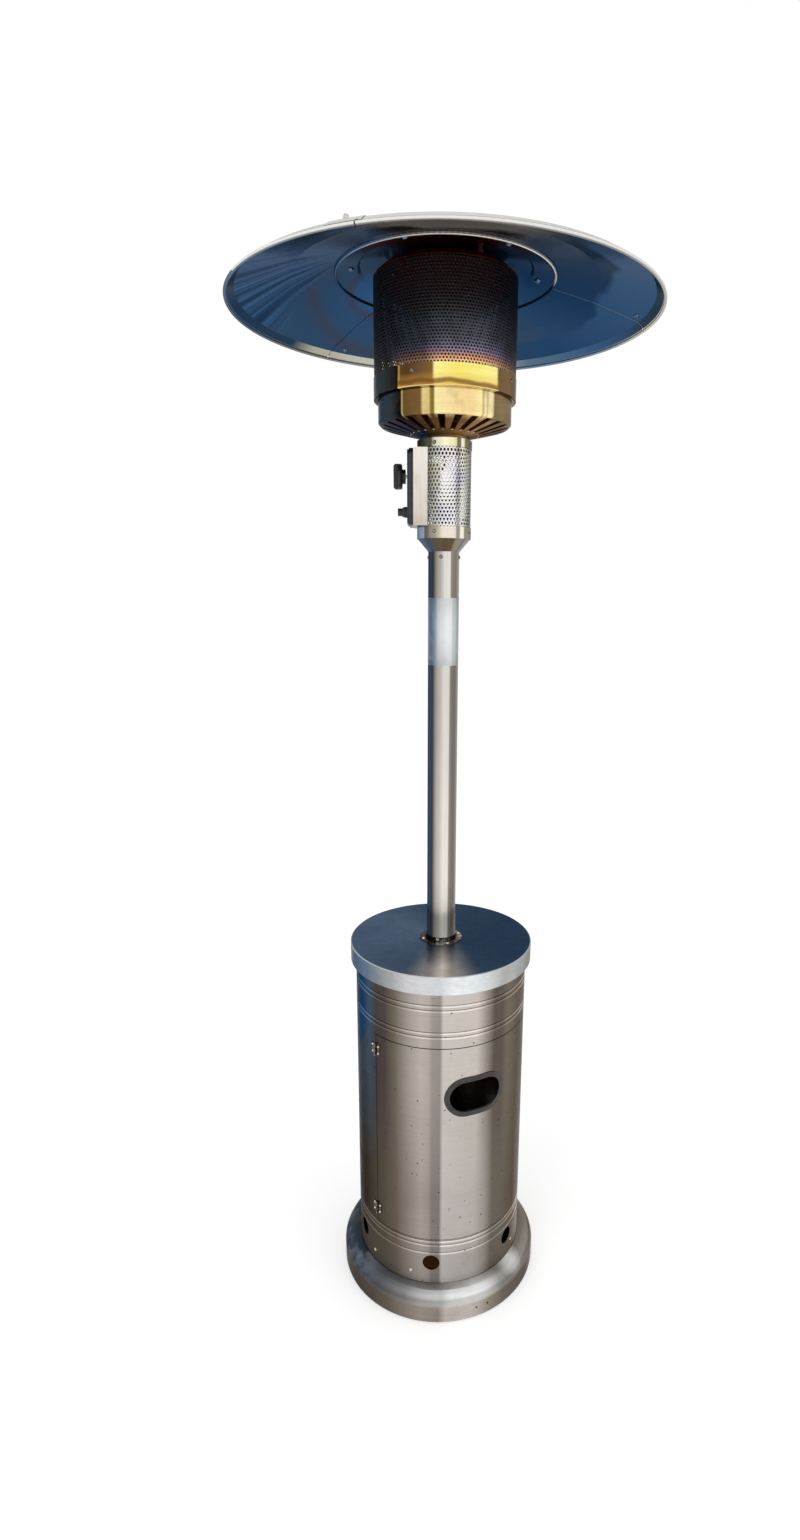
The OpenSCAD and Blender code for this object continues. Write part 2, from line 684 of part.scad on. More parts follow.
module face_plate() color("#1c1c1e") difference() {
    union() {
        to_left(box_front, 0, box_z + box_h / 2) linear_extrude(plate_depth * 0.7)
            rounded(box_h, box_w, plate_corner);
        to_left(box_front, 0, box_z + box_h / 2) linear_extrude(plate_depth)
            rounded(box_h - 2 * plate_margin, box_w - 2 * plate_margin, plate_corner - plate_margin);
    }
    to_left(box_front - over, 0, knob_z) rod(stem_r + free_gap, plate_depth + 2 * over);
    to_left(box_front - over, 0, igniter_z) rod(igniter_r + seat_gap, plate_depth + 2 * over);
}

// Gas valve: body, turning plug, sliding stem and knob
valve_top = knob_z + valve_h / 2;
module control_valve() color("#b5a642") difference() {
    union() {
        translate([-valve_far, -valve_w / 2, knob_z - valve_h / 2])
            cube([valve_far - valve_near, valve_w, valve_h]);
        to_left(valve_far, 0, knob_z)
            cylinder(h = box_front - box_t - valve_far, r = plug_r + 2 * stem_r);
    }
    to_left(valve_far - plug_l, 0, knob_z) cylinder(h = plug_l + over, r = plug_r + run_gap);
    to_left(valve_far, 0, knob_z) cylinder(h = box_front - valve_far + over, r = stem_r + free_gap);
    translate([gas_x, 0, knob_z - valve_h / 2 - over]) rod(gas_tube_r + seat_gap, valve_h / 5 + over);
    translate([pilot_x, pilot_side, valve_top - valve_h / 5])
        rod(outlet_r + seat_gap, valve_h / 5 + over);
    translate([pilot_x, -pilot_side, valve_top - valve_h / 5])
        rod(outlet_r + seat_gap, valve_h / 5 + over);
    to_left(valve_near - over, 0, knob_z + valve_outlet_up) rod(outlet_r + seat_gap, outlet_depth + over);
}
valve_outlet_up = valve_h * 0.32;
outlet_depth = 8;
module valve_plug() color("#d4c46a") difference() {
    to_left(valve_far - plug_l + free_gap, 0, knob_z) cylinder(h = plug_l - 2 * free_gap, r = plug_r);
    to_left(valve_far - plug_l + 2 * plug_r / 3, 0, knob_z) rod(stem_r + run_gap, plug_l);
}
stem_in = plug_l - 2 * plug_r / 3 - knob_travel - free_gap;
module valve_stem() color("silver") to_left(valve_far - stem_in, 0, knob_z)
    rod(stem_r, knob_front - valve_far + stem_in);
module knob() color("#161618") difference() {
    union() {
        to_left(plate_front + knob_travel + free_gap, 0, knob_z)
            cylinder(h = knob_back - plate_front - knob_travel, r = knob_neck_r);
        to_left(knob_back, 0, knob_z) {
            cylinder(h = knob_skirt_h / 3, r1 = knob_r - knob_skirt_h / 4, r2 = knob_r);
            translate([0, 0, knob_skirt_h / 3]) cylinder(h = knob_skirt_h * 2 / 3, r = knob_r);
        }
        intersection() {
            to_left(knob_front, 0, knob_z) {
                cylinder(h = knob_grip_h * 2 / 3, r = knob_r);
                translate([0, 0, knob_grip_h * 2 / 3])
                    cylinder(h = knob_grip_h / 3, r1 = knob_r, r2 = knob_r - knob_grip_h / 3);
            }
            translate([-knob_end, -knob_grip_w / 2, knob_z - knob_r])
                cube([knob_grip_h + over, knob_grip_w, 2 * knob_r]);
        }
    }
    to_left(plate_front, 0, knob_z) rod(stem_r + run_gap, knob_front - plate_front + run_gap);
}

// Piezo igniter: barrel with a bezel, its nut and the button
module igniter_body() color("#202022") difference() {
    union() {
        to_left(plate_front - igniter_l - plate_depth, 0, igniter_z)
            cylinder(h = igniter_l + plate_depth, r = igniter_r);
        to_left(plate_front, 0, igniter_z) cylinder(h = bezel_h * 0.6, r = bezel_r);
        to_left(plate_front + bezel_h * 0.6, 0, igniter_z)
            cylinder(h = bezel_h * 0.4, r1 = bezel_r, r2 = button_r + 1.2 * run_gap + box_t);
    }
    to_left(plate_front - button_in - button_travel - free_gap, 0, igniter_z)
        cylinder(h = bezel_h + button_in + button_travel + free_gap + over, r = button_r + run_gap);
}
button_in = 6;
module igniter_nut() color("silver") difference() {
    to_left(box_front - box_t - nut_h, 0, igniter_z) rotate([0, 0, 30]) hex_bar(2.5 * igniter_r, nut_h);
    to_left(box_front - box_t - nut_h - over, 0, igniter_z)
        cylinder(h = nut_h + 2 * over, r = igniter_r + run_gap);
}
nut_h = 5;
module igniter_button() color("#262628") to_left(plate_front - button_in, 0, igniter_z) {
    cylinder(h = button_in + bezel_h + button_out - box_t, r = button_r);
    translate([0, 0, button_in + bezel_h + button_out - box_t])
        cylinder(h = box_t, r1 = button_r, r2 = button_r - box_t);
}

// Sealed tilt switch beside the supply tube
tilt_r = 8;
tilt_h = 30;
module tilt_switch() color("#303034") difference() {
    union() {
        translate([guard_ri - seat_gap - tilt_r - reducer_t, 0, housing_z + spigot_h])
            cylinder(h = tilt_h, r = tilt_r);
        translate([guard_ri - seat_gap - tilt_r - reducer_t, -tilt_r / 2, housing_z + spigot_h])
            cube([tilt_r + reducer_t, tilt_r, tilt_h / 2]);
    }
    difference() {
        translate([0, 0, housing_z]) cylinder(h = housing_h, r = housing_r + tilt_r);
        translate([0, 0, housing_z - over])
            cylinder(h = housing_h + 2 * over, r = guard_ri - seat_gap);
    }
}

// Gas way
module inlet_fitting() color("#b5a642") difference() {
    translate([gas_x, 0, 0]) {
        translate([0, 0, plate_z - inlet_hex_h]) hex_bar(inlet_hex, inlet_hex_h);
        translate([0, 0, plate_z - inlet_hex_h - inlet_thread_l]) rod(inlet_thread_r, inlet_thread_l);
        translate([0, 0, plate_z - seat_gap]) rod(inlet_body_r, plate_t + socket_t + 2 * inlet_hex_h);
    }
    translate([gas_x, 0, plate_z]) rod(gas_tube_r + run_gap, plate_t + socket_t + 3 * inlet_hex_h);
    translate([gas_x, 0, plate_z - inlet_hex_h - inlet_thread_l - over])
        rod(gas_tube_r / 2, inlet_hex_h + inlet_thread_l + 2 * over);
}
module supply_tube() color("#b87333") translate([gas_x, 0, plate_z + run_gap]) difference() {
    rod(gas_tube_r, knob_z - valve_h / 2 + valve_h / 5 - seat_gap - plate_z - run_gap);
    translate([0, 0, -over]) rod(gas_tube_r - gas_tube_t, knob_z - plate_z);
}
outlet_z = knob_z + valve_outlet_up;
module outlet_tube() color("#b87333") {
    translate([-valve_near - outlet_depth + seat_gap, 0, outlet_z]) rotate([0, 90, 0])
        rod(outlet_r, outlet_depth - seat_gap + valve_near - outlet_bend);
    translate([-outlet_bend, 0, outlet_z + outlet_bend]) rotate([90, 0, 0])
        rotate([0, 0, -90]) rotate_extrude(angle = 90) translate([outlet_bend, 0])
            circle(r = outlet_r, $fn = small_fn);
    translate([0, 0, outlet_z + outlet_bend]) rod(outlet_r, orifice_z - outlet_z - outlet_bend);
}
module orifice() color("#b5a642") translate([0, 0, orifice_z]) {
    difference() {
        hex_bar(orifice_hex, orifice_h);
        translate([0, 0, orifice_h / 2]) rod(outlet_r / 2, orifice_h);
    }
}

// Burner: slotted pan with a neck and a wall, the band on its lip, the deck in the band
pan_line = [[guard_ri - seat_gap, housing_top - spigot_h], [guard_ri - seat_gap, housing_top],
    [neck_r, housing_top + seat_gap], [neck_r, cone_z], [pan_r - pan_edge, wall_z - pan_edge * 0.4],
    [pan_r, wall_z + pan_edge * 0.6], [pan_r, lip_z], [burner_r - lip_w / 2, lip_z]];
module burner_pan() color("#a8842c") difference() {
    rotate_extrude() polygon(sheet(pan_line, pan_t));
    around(slot_n, slot_first_az) translate([0, 0, cone_z - over])
        linear_extrude(pan_rise + 2 * over)
            slot_hole(slot_r0, slot_r1, slot_w * slot_taper, slot_w);
    at_housing_screws() translate([0, 0, -band_t - guard_t - pan_t - over])
        rod(screw_r + seat_gap, pan_t + 2 * over);
}
slot_first_az = -3;

band_line = [[pan_r + seat_gap, burner_z], [burner_r, burner_z], [burner_r, burner_z + burner_band_h]];
module at_band_screws() around(screw_n, band_screw_az)
    translate([0, -burner_r, burner_z + burner_band_h * 0.68]) rotate([90, 0, 0]) children();
module burner_band() color("#d4a017") difference() {
    rotate_extrude() polygon(sheet(band_line, band_t));
    at_band_screws() translate([0, 0, -band_t - over]) rod(screw_r + seat_gap, band_t + 2 * over);
}
module band_screws() color("silver") at_band_screws()
    translate([0, 0, seat_gap / 2]) screw(screw_r, band_t + emitter_t + over);

module burner_deck() color("dimgray") difference() {
    translate([0, 0, deck_z]) cylinder(h = deck_t, r = emitter_r);
    translate([0, 0, deck_z - over]) cylinder(h = deck_t + 2 * over, r = mixer_r + seat_gap);
    for (y = [-pilot_side, pilot_side]) translate([pilot_x, y, deck_z - over])
        rod(outlet_r + seat_gap, deck_t + 2 * over);
    translate([pilot_x, 0, deck_z - over]) rod(outlet_r + seat_gap, deck_t + 2 * over);
}
mixer_line = [[mixer_r * 1.4, deck_z - mixer_drop], [mixer_r, deck_z - mixer_drop * 0.7],
    [mixer_r, deck_z + bowl_lift]];
module mixer_tube() color("dimgray") difference() {
    rotate_extrude() polygon(sheet(mixer_line, mixer_t));
    around(mixer_port_n) translate([0, 0, deck_z + bowl_lift / 2])
        rotate([90, 0, 0]) rod(mixer_port_r, 2 * mixer_r);
}
// Round burner cap on the mixing tube
module burner_bowl() color("gray") rotate_extrude() difference() {
    polygon([[0, deck_z + bowl_lift], [bowl_r, deck_z + bowl_lift - bowl_h],
        [bowl_r, deck_z + bowl_lift], [0, deck_z + bowl_lift + bowl_h]]);
    translate([0, deck_z + bowl_lift - 2 * bowl_h]) square([mixer_r + seat_gap, 2 * bowl_h + seat_gap]);
}

// Pilot burner, flame sensor and spark electrode, each on a straight lead through the deck
pilot_h = 26;
module pilot_burner() color("#b5a642") translate([pilot_x, pilot_side, 0]) difference() {
    union() {
        translate([0, 0, valve_top - valve_h / 5 + seat_gap])
            rod(outlet_r, deck_z + pilot_h - valve_top + valve_h / 5);
        translate([0, 0, deck_z + deck_t + seat_gap]) rod(outlet_r * 2, pilot_h);
    }
    translate([0, 0, deck_z + pilot_h / 2]) rod(outlet_r, pilot_h);
}
module thermocouple() color("silver") translate([pilot_x, -pilot_side, 0]) {
    translate([0, 0, valve_top - valve_h / 5 + seat_gap])
        rod(outlet_r * 0.6, deck_z + pilot_h - valve_top + valve_h / 5);
    translate([0, 0, deck_z + deck_t + seat_gap]) rod(outlet_r * 1.4, pilot_h / 2);
}
// The electrode's lead goes round the valve from the back of the igniter
lead_r = 1.5;
lead_y = valve_w / 2 + 3 * lead_r;
igniter_back = plate_front - igniter_l - plate_depth;
lead_x = igniter_back - 3 * lead_r;
module lead_run(a, b) {
    d = b - a;
    translate(a) rotate([0, acos(d[2] / norm(d)), atan2(d[1], d[0])]) rod(lead_r, norm(d));
    translate(b) sphere(r = lead_r * 1.15, $fn = small_fn);
}
module spark_electrode() color("ivory") {
    lead_run([-igniter_back + seat_gap, 0, igniter_z], [-lead_x, 0, igniter_z]);
    lead_run([-lead_x, 0, igniter_z], [-lead_x, lead_y, igniter_z]);
    lead_run([-lead_x, lead_y, igniter_z], [-lead_x, lead_y, housing_top]);
    lead_run([-lead_x, lead_y, housing_top], [pilot_x, 0, cone_z + neck_h]);
    lead_run([pilot_x, 0, cone_z + neck_h], [pilot_x, 0, deck_z + pilot_h]);
    translate([pilot_x, 0, deck_z + deck_t + seat_gap]) rod(outlet_r * 1.2, pilot_h / 2);
}

module emitter_screen() color("#2a2a2e") difference() {
    ring(emitter_r, emitter_t, emitter_z, emitter_h);
    at_band_screws() translate([0, 0, -band_t - emitter_t - over])
        rod(screw_r + seat_gap, emitter_t + 2 * over);
}
cap_skirt = 8;
cap_top_share = 0.91;
cap_line = [[emitter_r - emitter_t - seat_gap, emitter_top - cap_skirt],
    [emitter_r - emitter_t - seat_gap, emitter_top], [emitter_r, emitter_top],
    [emitter_r, emitter_top + cap_rise * 0.15], [emitter_r * cap_top_share, cap_z], [0, cap_z]];
module emitter_cap() color("#4a1c10") difference() {
    rotate_extrude() polygon(sheet(cap_line, pan_t));
    at_studs() translate([0, 0, cap_z - pan_t - over]) rod(bolt_r + seat_gap, pan_t + 2 * over);
}

// Standoffs between the cap and the disc, with wing nuts on top
module at_studs() around(stud_n, stud_az) translate([0, -stud_r, 0]) children();
wing_base_h = 5;
wing_r = 6;
module standoff_studs() color("silver") at_studs() {
    translate([0, 0, cap_z - pan_t - bolt_r]) rod(bolt_r, standoff_h + wing_base_h + 4 * bolt_r);
    translate([0, 0, cap_z]) rod(spacer_r, standoff_h);
}
module wing_nuts() color("silver") at_studs() translate([0, 0, disc_z + reflector_t]) difference() {
    union() {
        cylinder(h = wing_base_h, r1 = 1.9 * bolt_r, r2 = 1.6 * bolt_r);
        for (s = [-1, 1]) translate([s * 2.6 * bolt_r, bolt_r / 3, wing_base_h]) rotate([90, 0, 0])
            cylinder(h = bolt_r * 2 / 3, r = wing_r);
    }
    translate([0, 0, -over]) rod(bolt_r + run_gap, wing_base_h + 3 * wing_r);
    translate([0, 0, -wing_r]) cylinder(h = wing_r, r = 4 * wing_r);
}

// Reflector: a centre disc with a hemmed edge and three lapped panels
hem_r = 1.8;
module at_inner_bolt(i) at_az(seam_az - bolt_lag + i * 360 / inner_bolt_n)
    translate([0, -inner_bolt_r, line_z(disc_line, inner_bolt_r)])
        rotate([line_fall(disc_line, inner_bolt_r), 0, 0]) children();
module at_outer_bolts() around(panel_n, seam_az - bolt_lag)
    translate([0, -outer_bolt_r, line_z(panel_slope_line, outer_bolt_r)])
        rotate([line_fall(panel_slope_line, outer_bolt_r), 0, 0]) children();
module bolt_hole() translate([0, 0, -over]) rod(bolt_r + seat_gap, 2 * over + 4 * reflector_t);
disc_edge = shifted(disc_line, reflector_t)[len(disc_line) - 1];
module reflector_disc() color("#7d93ad") difference() {
    rotate_extrude() {
        polygon(sheet(disc_line, reflector_t));
        translate(disc_edge - [hem_r, hem_r]) circle(r = hem_r, $fn = small_fn);
    }
    for (i = [0 : inner_bolt_n - 1]) at_inner_bolt(i) bolt_hole();
    at_studs() translate([0, 0, disc_z - over]) rod(bolt_r + seat_gap, reflector_t + 2 * over);
}
module panel() color("#8aa0b8") difference() {
    union() {
        pie(seam_az + seam_gap_deg, 360 / panel_n - seam_gap_deg) {
            polygon(sheet(panel_line, reflector_t));
            translate([reflector_r - bead_r, bead_z]) circle(r = bead_r, $fn = small_fn);
        }
        pie(seam_az + seam_gap_deg, step_deg) polygon(sheet(lap_line, joggle + reflector_t));
        pie(seam_az - lap_deg, lap_deg + seam_gap_deg + step_deg)
            polygon(sheet(shifted(lap_line, joggle), reflector_t));
    }
    for (i = [0 : inner_bolt_n - 1]) at_inner_bolt(i) bolt_hole();
    at_outer_bolts() bolt_hole();
}
module reflector_panel_1() panel();
module reflector_panel_2() at_az(360 / panel_n) panel();
module reflector_panel_3() at_az(2 * 360 / panel_n) panel();

// Bolts with their heads below; an acorn nut closes each on top
module head_below() {
    translate([0, 0, -seat_gap]) {
        mirror([0, 0, 1]) screw_head(bolt_r);
        rod(bolt_r, 2 * seat_gap);
    }
}
// The bolts beside the seams also go through the next panel's lap
function inner_grip(i) = bolt_stack + (i % 2 == 0 ? joggle : 0);
module reflector_bolts() color("silver") {
    for (i = [0 : inner_bolt_n - 1]) at_inner_bolt(i) {
        head_below();
        rod(bolt_r, inner_grip(i) + nut_rise * 0.6);
    }
    at_outer_bolts() {
        head_below();
        rod(bolt_r, bolt_stack + nut_rise * 0.6);
    }
}
module acorn() difference() {
    union() {
        hex_bar(nut_r * sqrt(3), nut_rise * 0.6);
        translate([0, 0, nut_rise * 0.6]) cylinder(h = nut_rise * 0.4, r1 = nut_r * 0.8, r2 = nut_r * 0.4);
    }
    translate([0, 0, -over]) rod(bolt_r + run_gap, nut_rise * 0.6 + over + seat_gap);
}
module acorn_nuts() color("silver") {
    for (i = [0 : inner_bolt_n - 1]) at_inner_bolt(i) translate([0, 0, inner_grip(i)]) acorn();
    at_outer_bolts() translate([0, 0, bolt_stack]) acorn();
}

base_cover();
base_ballast();
rubber_feet();
support_legs();
leg_bolts();
top_plate();
post_socket();
drum_shell();
drum_screws();
door_frame();
hinge_fixed_leaves();
hinge_pins();
hinge_drum_rivets();
magnet_catch();
lid();
post_collar();
collar_screws();
post();
inlet_fitting();
supply_tube();
door_panel();
hand_hole_trim();
hinge_door_leaves();
hinge_door_rivets();
catch_strike();
post_reducer();
housing_bands();
housing_guard();
housing_screws();
control_box();
face_plate();
control_valve();
valve_plug();
valve_stem();
knob();
igniter_body();
igniter_nut();
igniter_button();
tilt_switch();
outlet_tube();
orifice();
burner_pan();
mixer_tube();
burner_deck();
burner_bowl();
pilot_burner();
thermocouple();
spark_electrode();
burner_band();
band_screws();
emitter_screen();
emitter_cap();
standoff_studs();
wing_nuts();
reflector_disc();
reflector_panel_1();
reflector_panel_2();
reflector_panel_3();
reflector_bolts();
acorn_nuts();
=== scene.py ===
import math

import bpy
from mathutils import Matrix, Vector


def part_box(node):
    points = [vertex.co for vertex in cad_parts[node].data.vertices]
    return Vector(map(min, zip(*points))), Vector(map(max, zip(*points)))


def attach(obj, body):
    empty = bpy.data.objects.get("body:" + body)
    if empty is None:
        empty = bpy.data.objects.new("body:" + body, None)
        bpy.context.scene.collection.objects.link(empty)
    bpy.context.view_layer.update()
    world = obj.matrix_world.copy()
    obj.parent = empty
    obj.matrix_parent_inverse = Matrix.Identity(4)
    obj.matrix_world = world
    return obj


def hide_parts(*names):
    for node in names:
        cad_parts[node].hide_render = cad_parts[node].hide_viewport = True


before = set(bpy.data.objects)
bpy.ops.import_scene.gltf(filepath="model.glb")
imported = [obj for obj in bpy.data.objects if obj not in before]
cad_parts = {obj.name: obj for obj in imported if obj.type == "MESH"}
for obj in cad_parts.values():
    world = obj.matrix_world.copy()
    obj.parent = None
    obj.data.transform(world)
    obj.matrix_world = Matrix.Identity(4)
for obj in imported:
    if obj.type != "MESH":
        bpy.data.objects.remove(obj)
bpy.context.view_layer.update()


# The view. The photograph is taken from in front at eye height, looking down along the post.
# Its frame is cut off centre, which the two shifts give back. Metres, and radians for the turns.
eye_distance, eye_height = 1.6896, 1.5715
look_up, lean, turn = -0.234, 0.010, 0.011
frame_mm, lens_mm = 36, 18.83
shift_right, shift_up = -0.0329, 0.0109
nearest, farthest = 0.01, 100
lens_data = bpy.data.cameras.new("camera")
lens_data.sensor_width, lens_data.lens = frame_mm, lens_mm
lens_data.shift_x, lens_data.shift_y = shift_right, shift_up
lens_data.clip_start, lens_data.clip_end = nearest, farthest
camera = bpy.data.objects.new("camera", lens_data)
camera.matrix_world = (
    Matrix.Translation((0, -eye_distance, eye_height))
    @ Matrix.Rotation(-turn, 4, "Z")
    @ Matrix.Rotation(math.pi / 2 + look_up, 4, "X")
    @ Matrix.Rotation(lean, 4, "Z")
)
bpy.context.collection.objects.link(camera)
bpy.context.scene.camera = camera
bpy.context.scene.view_settings.view_transform = "Standard"


# The setting. A wide pale floor under a plain pale sky, with two broad lamps.
# Whatever looks at the sky straight or in a mirror sees white; the light it sheds is dimmer.
sky_light = 0.72
floor_tone, floor_lift, floor_roughness = 0.86, 0.38, 0.9
floor_half = 30
lamp_aim = (0, 0, 1.1)
sky = bpy.data.worlds.new("sky")
bpy.context.scene.world = sky
sky.use_nodes = True


def seen_directly(tree):
    """1 where a camera, mirror or glass ray looks at the setting, 0 where it only lights."""
    rays = tree.nodes.new("ShaderNodeLightPath")
    seen = rays.outputs["Is Camera Ray"]
    for kind in ("Is Glossy Ray", "Is Transmission Ray"):
        either = tree.nodes.new("ShaderNodeMath")
        either.operation = "MAXIMUM"
        tree.links.new(seen, either.inputs[0])
        tree.links.new(rays.outputs[kind], either.inputs[1])
        seen = either.outputs[0]
    return seen


def level(tree, unseen, seen):
    """A strength that is one number for the rays that see and another for those that light."""
    spread = tree.nodes.new("ShaderNodeMapRange")
    spread.inputs["To Min"].default_value, spread.inputs["To Max"].default_value = unseen, seen
    tree.links.new(seen_directly(tree), spread.inputs["Value"])
    return spread.outputs["Result"]


sky.node_tree.nodes["Background"].inputs["Color"].default_value = (1, 1, 1, 1)
sky.node_tree.links.new(
    level(sky.node_tree, sky_light, 1), sky.node_tree.nodes["Background"].inputs["Strength"]
)


def formed(name, points, faces):
    """A piece made from its points and faces and put in the scene."""
    mesh = bpy.data.meshes.new(name)
    mesh.from_pydata(points, [], faces)
    piece = bpy.data.objects.new(name, mesh)
    bpy.context.collection.objects.link(piece)
    return piece


square = ((-1, -1), (1, -1), (1, 1), (-1, 1))
floor = formed("floor", [(x * floor_half, y * floor_half, 0) for x, y in square], [(0, 1, 2, 3)])
floor_paint = bpy.data.materials.new("pale_floor")
floor_paint.use_nodes = True
floor_shader = floor_paint.node_tree.nodes["Principled BSDF"]
floor_shader.inputs["Base Color"].default_value = (floor_tone,) * 3 + (1,)
floor_shader.inputs["Roughness"].default_value = floor_roughness
floor_shader.inputs["Specular IOR Level"].default_value = 0
floor_shader.inputs["Emission Color"].default_value = (1, 1, 1, 1)
floor_paint.node_tree.links.new(
    level(floor_paint.node_tree, 0, floor_lift), floor_shader.inputs["Emission Strength"]
)
floor.data.materials.append(floor_paint)

# each lamp's place, its width in metres and its watts
lamps = {
    "key": ((-2.6, -3.4, 3.6), 5.0, 60),
    "fill": ((3.4, -2.2, 2.6), 3.6, 26),
}
for name, (place, width, watts) in lamps.items():
    light = bpy.data.lights.new(name, "AREA")
    light.shape, light.size, light.energy = "DISK", width, watts
    lamp = bpy.data.objects.new(name, light)
    lamp.location = place
    lamp.visible_glossy = False
    toward = Vector(lamp_aim) - lamp.location
    lamp.rotation_euler = toward.to_track_quat("-Z", "Y").to_euler()
    bpy.context.collection.objects.link(lamp)


# Base cover. A dish pressed from one satin stainless sheet: a straight skirt, a domed shoulder
# and a raised floor for the gas bottle. The sheet was brushed round before it was pressed.
tones = {
    "black": "100e0d", "soot": "24211e", "bark": "5c5349", "earth": "6d645a", "taupe": "827a70",
    "ash": "9b938a", "dove": "b2aba3", "silver": "cbc5be", "pearl": "dfdbd5", "white": "ecebe8",
    "ice": "dde1e4", "mist": "a9b0b3", "steel": "4a525b", "rust": "5a2c14", "orange": "8a4a1e",
}


def shade(tone):
    """A tone, given by its name, hex digits or level of grey, in Blender's linear values."""
    if not isinstance(tone, str):
        return (tone, tone, tone, 1)
    code = tones.get(tone, tone)
    parts = [int(code[i:i + 2], 16) / 255 for i in (0, 2, 4)]
    return tuple(c / 12.92 if c <= 0.04045 else ((c + 0.055) / 1.055) ** 2.4 for c in parts) + (1,)


class Finish:
    """A material while it is made: its shader, and short calls for the nodes these finishes use.
    A tone is a name, six hex digits or what another call gave, and in a ramp a level of grey."""

    noise_low, noise_high, degrees = 0.3, 0.7, 180 / math.pi

    def __init__(self, name, metallic=1.0, roughness=0.3, edge=0.45):
        self.material = bpy.data.materials.new(name)
        self.material.use_nodes = True
        self.tree = self.material.node_tree
        self.shader = self.tree.nodes["Principled BSDF"]
        self.put("Metallic", metallic)
        self.put("Roughness", roughness)
        if metallic > 0.5:
            # how bright a metal is where it is seen edge-on
            self.put("Specular Tint", (edge, edge, edge, 1))
        self.where = self.node("TexCoord")
        self.place = self.where.outputs["Object"]
        self.x, self.y, self.z = self.node("SeparateXYZ", self.place).outputs
        self.height, self.bump_strength = None, 0.0

    def feed(self, socket, source):
        """Joins a socket to another one, or sets it to a tone, a number or a vector."""
        if isinstance(source, bpy.types.NodeSocket):
            self.tree.links.new(source, socket)
        elif isinstance(source, str):
            socket.default_value = shade(source)
        elif source is not None:
            socket.default_value = source

    def put(self, name, source):
        """Feeds one of the shader's own sockets."""
        self.feed(self.shader.inputs[name], source)

    def node(self, kind, *sources, **settings):
        """A new node, with what feeds its sockets in their order."""
        made = self.tree.nodes.new("ShaderNode" + kind)
        for name, value in settings.items():
            setattr(made, name, value)
        for socket, source in zip(made.inputs, sources):
            self.feed(socket, source)
        return made

    def math(self, operation, *values):
        return self.node("Math", *values, operation=operation).outputs[0]

    def times(self, *values):
        """The product of two or more values."""
        product = values[0]
        for value in values[1:]:
            product = self.math("MULTIPLY", product, value)
        return product

    def spread(self, value, low, high, to_low=0.0, to_high=1.0):
        """A value from low to high brought to 0 to 1, or to another range, and held at its ends."""
        return self.node("MapRange", value, low, high, to_low, to_high).outputs[0]

    def near(self, point):
        """The distance to a point, in metres."""
        return self.node("VectorMath", self.place, point, operation="DISTANCE").outputs["Value"]

    def radius(self):
        """The distance to the post's axis."""
        squares = self.math("ADD", self.times(self.x, self.x), self.times(self.y, self.y))
        return self.math("SQRT", squares)

    def azimuth(self):
        """Degrees round the post: 0 in front, rising to the right."""
        return self.times(self.math("ARCTAN2", self.x, self.times(self.y, -1.0)), self.degrees)

    def side(self):
        """The azimuth with the back folded on to the front, as in a mirror: -90 to 90."""
        return self.times(self.math("ARCTAN2", self.x, self.math("ABSOLUTE", self.y)), self.degrees)

    def between(self, value, low_out, low_in, high_in, high_out):
        """1 between the two inner values, falling to 0 at the two outer ones."""
        return self.times(self.spread(value, low_out, low_in),
                          self.spread(value, high_out, high_in))

    def facing(self):
        """The three parts of the direction that the surface faces."""
        return self.node("SeparateXYZ", self.where.outputs["Normal"]).outputs

    def faces_in(self):
        """1 where a round piece's surface faces the post's axis, 0 on its outside."""
        normal = self.facing()
        outward = self.math("ADD", self.times(self.x, normal[0]), self.times(self.y, normal[1]))
        return self.math("LESS_THAN", outward, 0.0)

    def blend(self, share, under, over, kind="MIX"):
        """A share, 0 to 1, of one tone over another."""
        made = self.node("Mix", share, data_type="RGBA", blend_type=kind)
        self.feed(made.inputs[6], under)
        self.feed(made.inputs[7], over)
        return made.outputs[2]

    def tinted(self, tone, by, share=1.0):
        """A tone multiplied by another one or by a number."""
        return self.blend(share, tone, by, "MULTIPLY")

    def ramp(self, value, stops):
        """Tones from (place, tone) stops, where places run in the value's own unit."""
        low, high = stops[0][0], stops[-1][0]
        made = self.node("ValToRGB", self.spread(value, low, high))
        points = made.color_ramp.elements
        for at, _ in stops[1:-1]:
            points.new((at - low) / (high - low))
        for point, (at, tone) in zip(points, stops):
            point.position = (at - low) / (high - low)
            point.color = tone if isinstance(tone, tuple) else shade(tone)
        return made.outputs[0]

    def round_post(self, stops):
        """Painted reflections by azimuth, all the way round: -180 to 180."""
        return self.ramp(self.azimuth(), stops)

    def bands(self, stops):
        """Painted reflections that a polished round piece shows, by azimuth from -90 to 90."""
        return self.ramp(self.side(), stops)

    def noise(self, per_metre, stretch=(1, 1, 1), detail=2.0):
        """Soft cloudy values round 0.5, so many to a metre, and longer where stretch is small."""
        stretched = self.node("Mapping", self.place, None, None, stretch).outputs[0]
        return self.node("TexNoise", stretched, None, per_metre, detail).outputs[0]

    def wander(self, per_metre, reach, stretch=(1, 1, 1), detail=2.0):
        """A value that wanders about 0, as far as the reach to either side."""
        return self.spread(self.noise(per_metre, stretch, detail), self.noise_low, self.noise_high,
                           -reach, reach)

    def clouds(self, per_metre, low, high, detail=2.0):
        """Noise made starker: 0 up to the low value and 1 from the high one."""
        return self.spread(self.noise(per_metre, detail=detail), low, high)

    def mottled(self, under, over, per_metre, low=0.35, high=0.7, detail=5):
        """Two tones in soft patches."""
        return self.blend(self.clouds(per_metre, low, high, detail), under, over)

    def blotches(self, tone, over, per_metre, low, high, share):
        """Patches of another tone, where the noise is above low, at a share of its strength."""
        patch = self.spread(self.noise(per_metre, detail=5), low, high, 0, share)
        return self.blend(patch, tone, over)

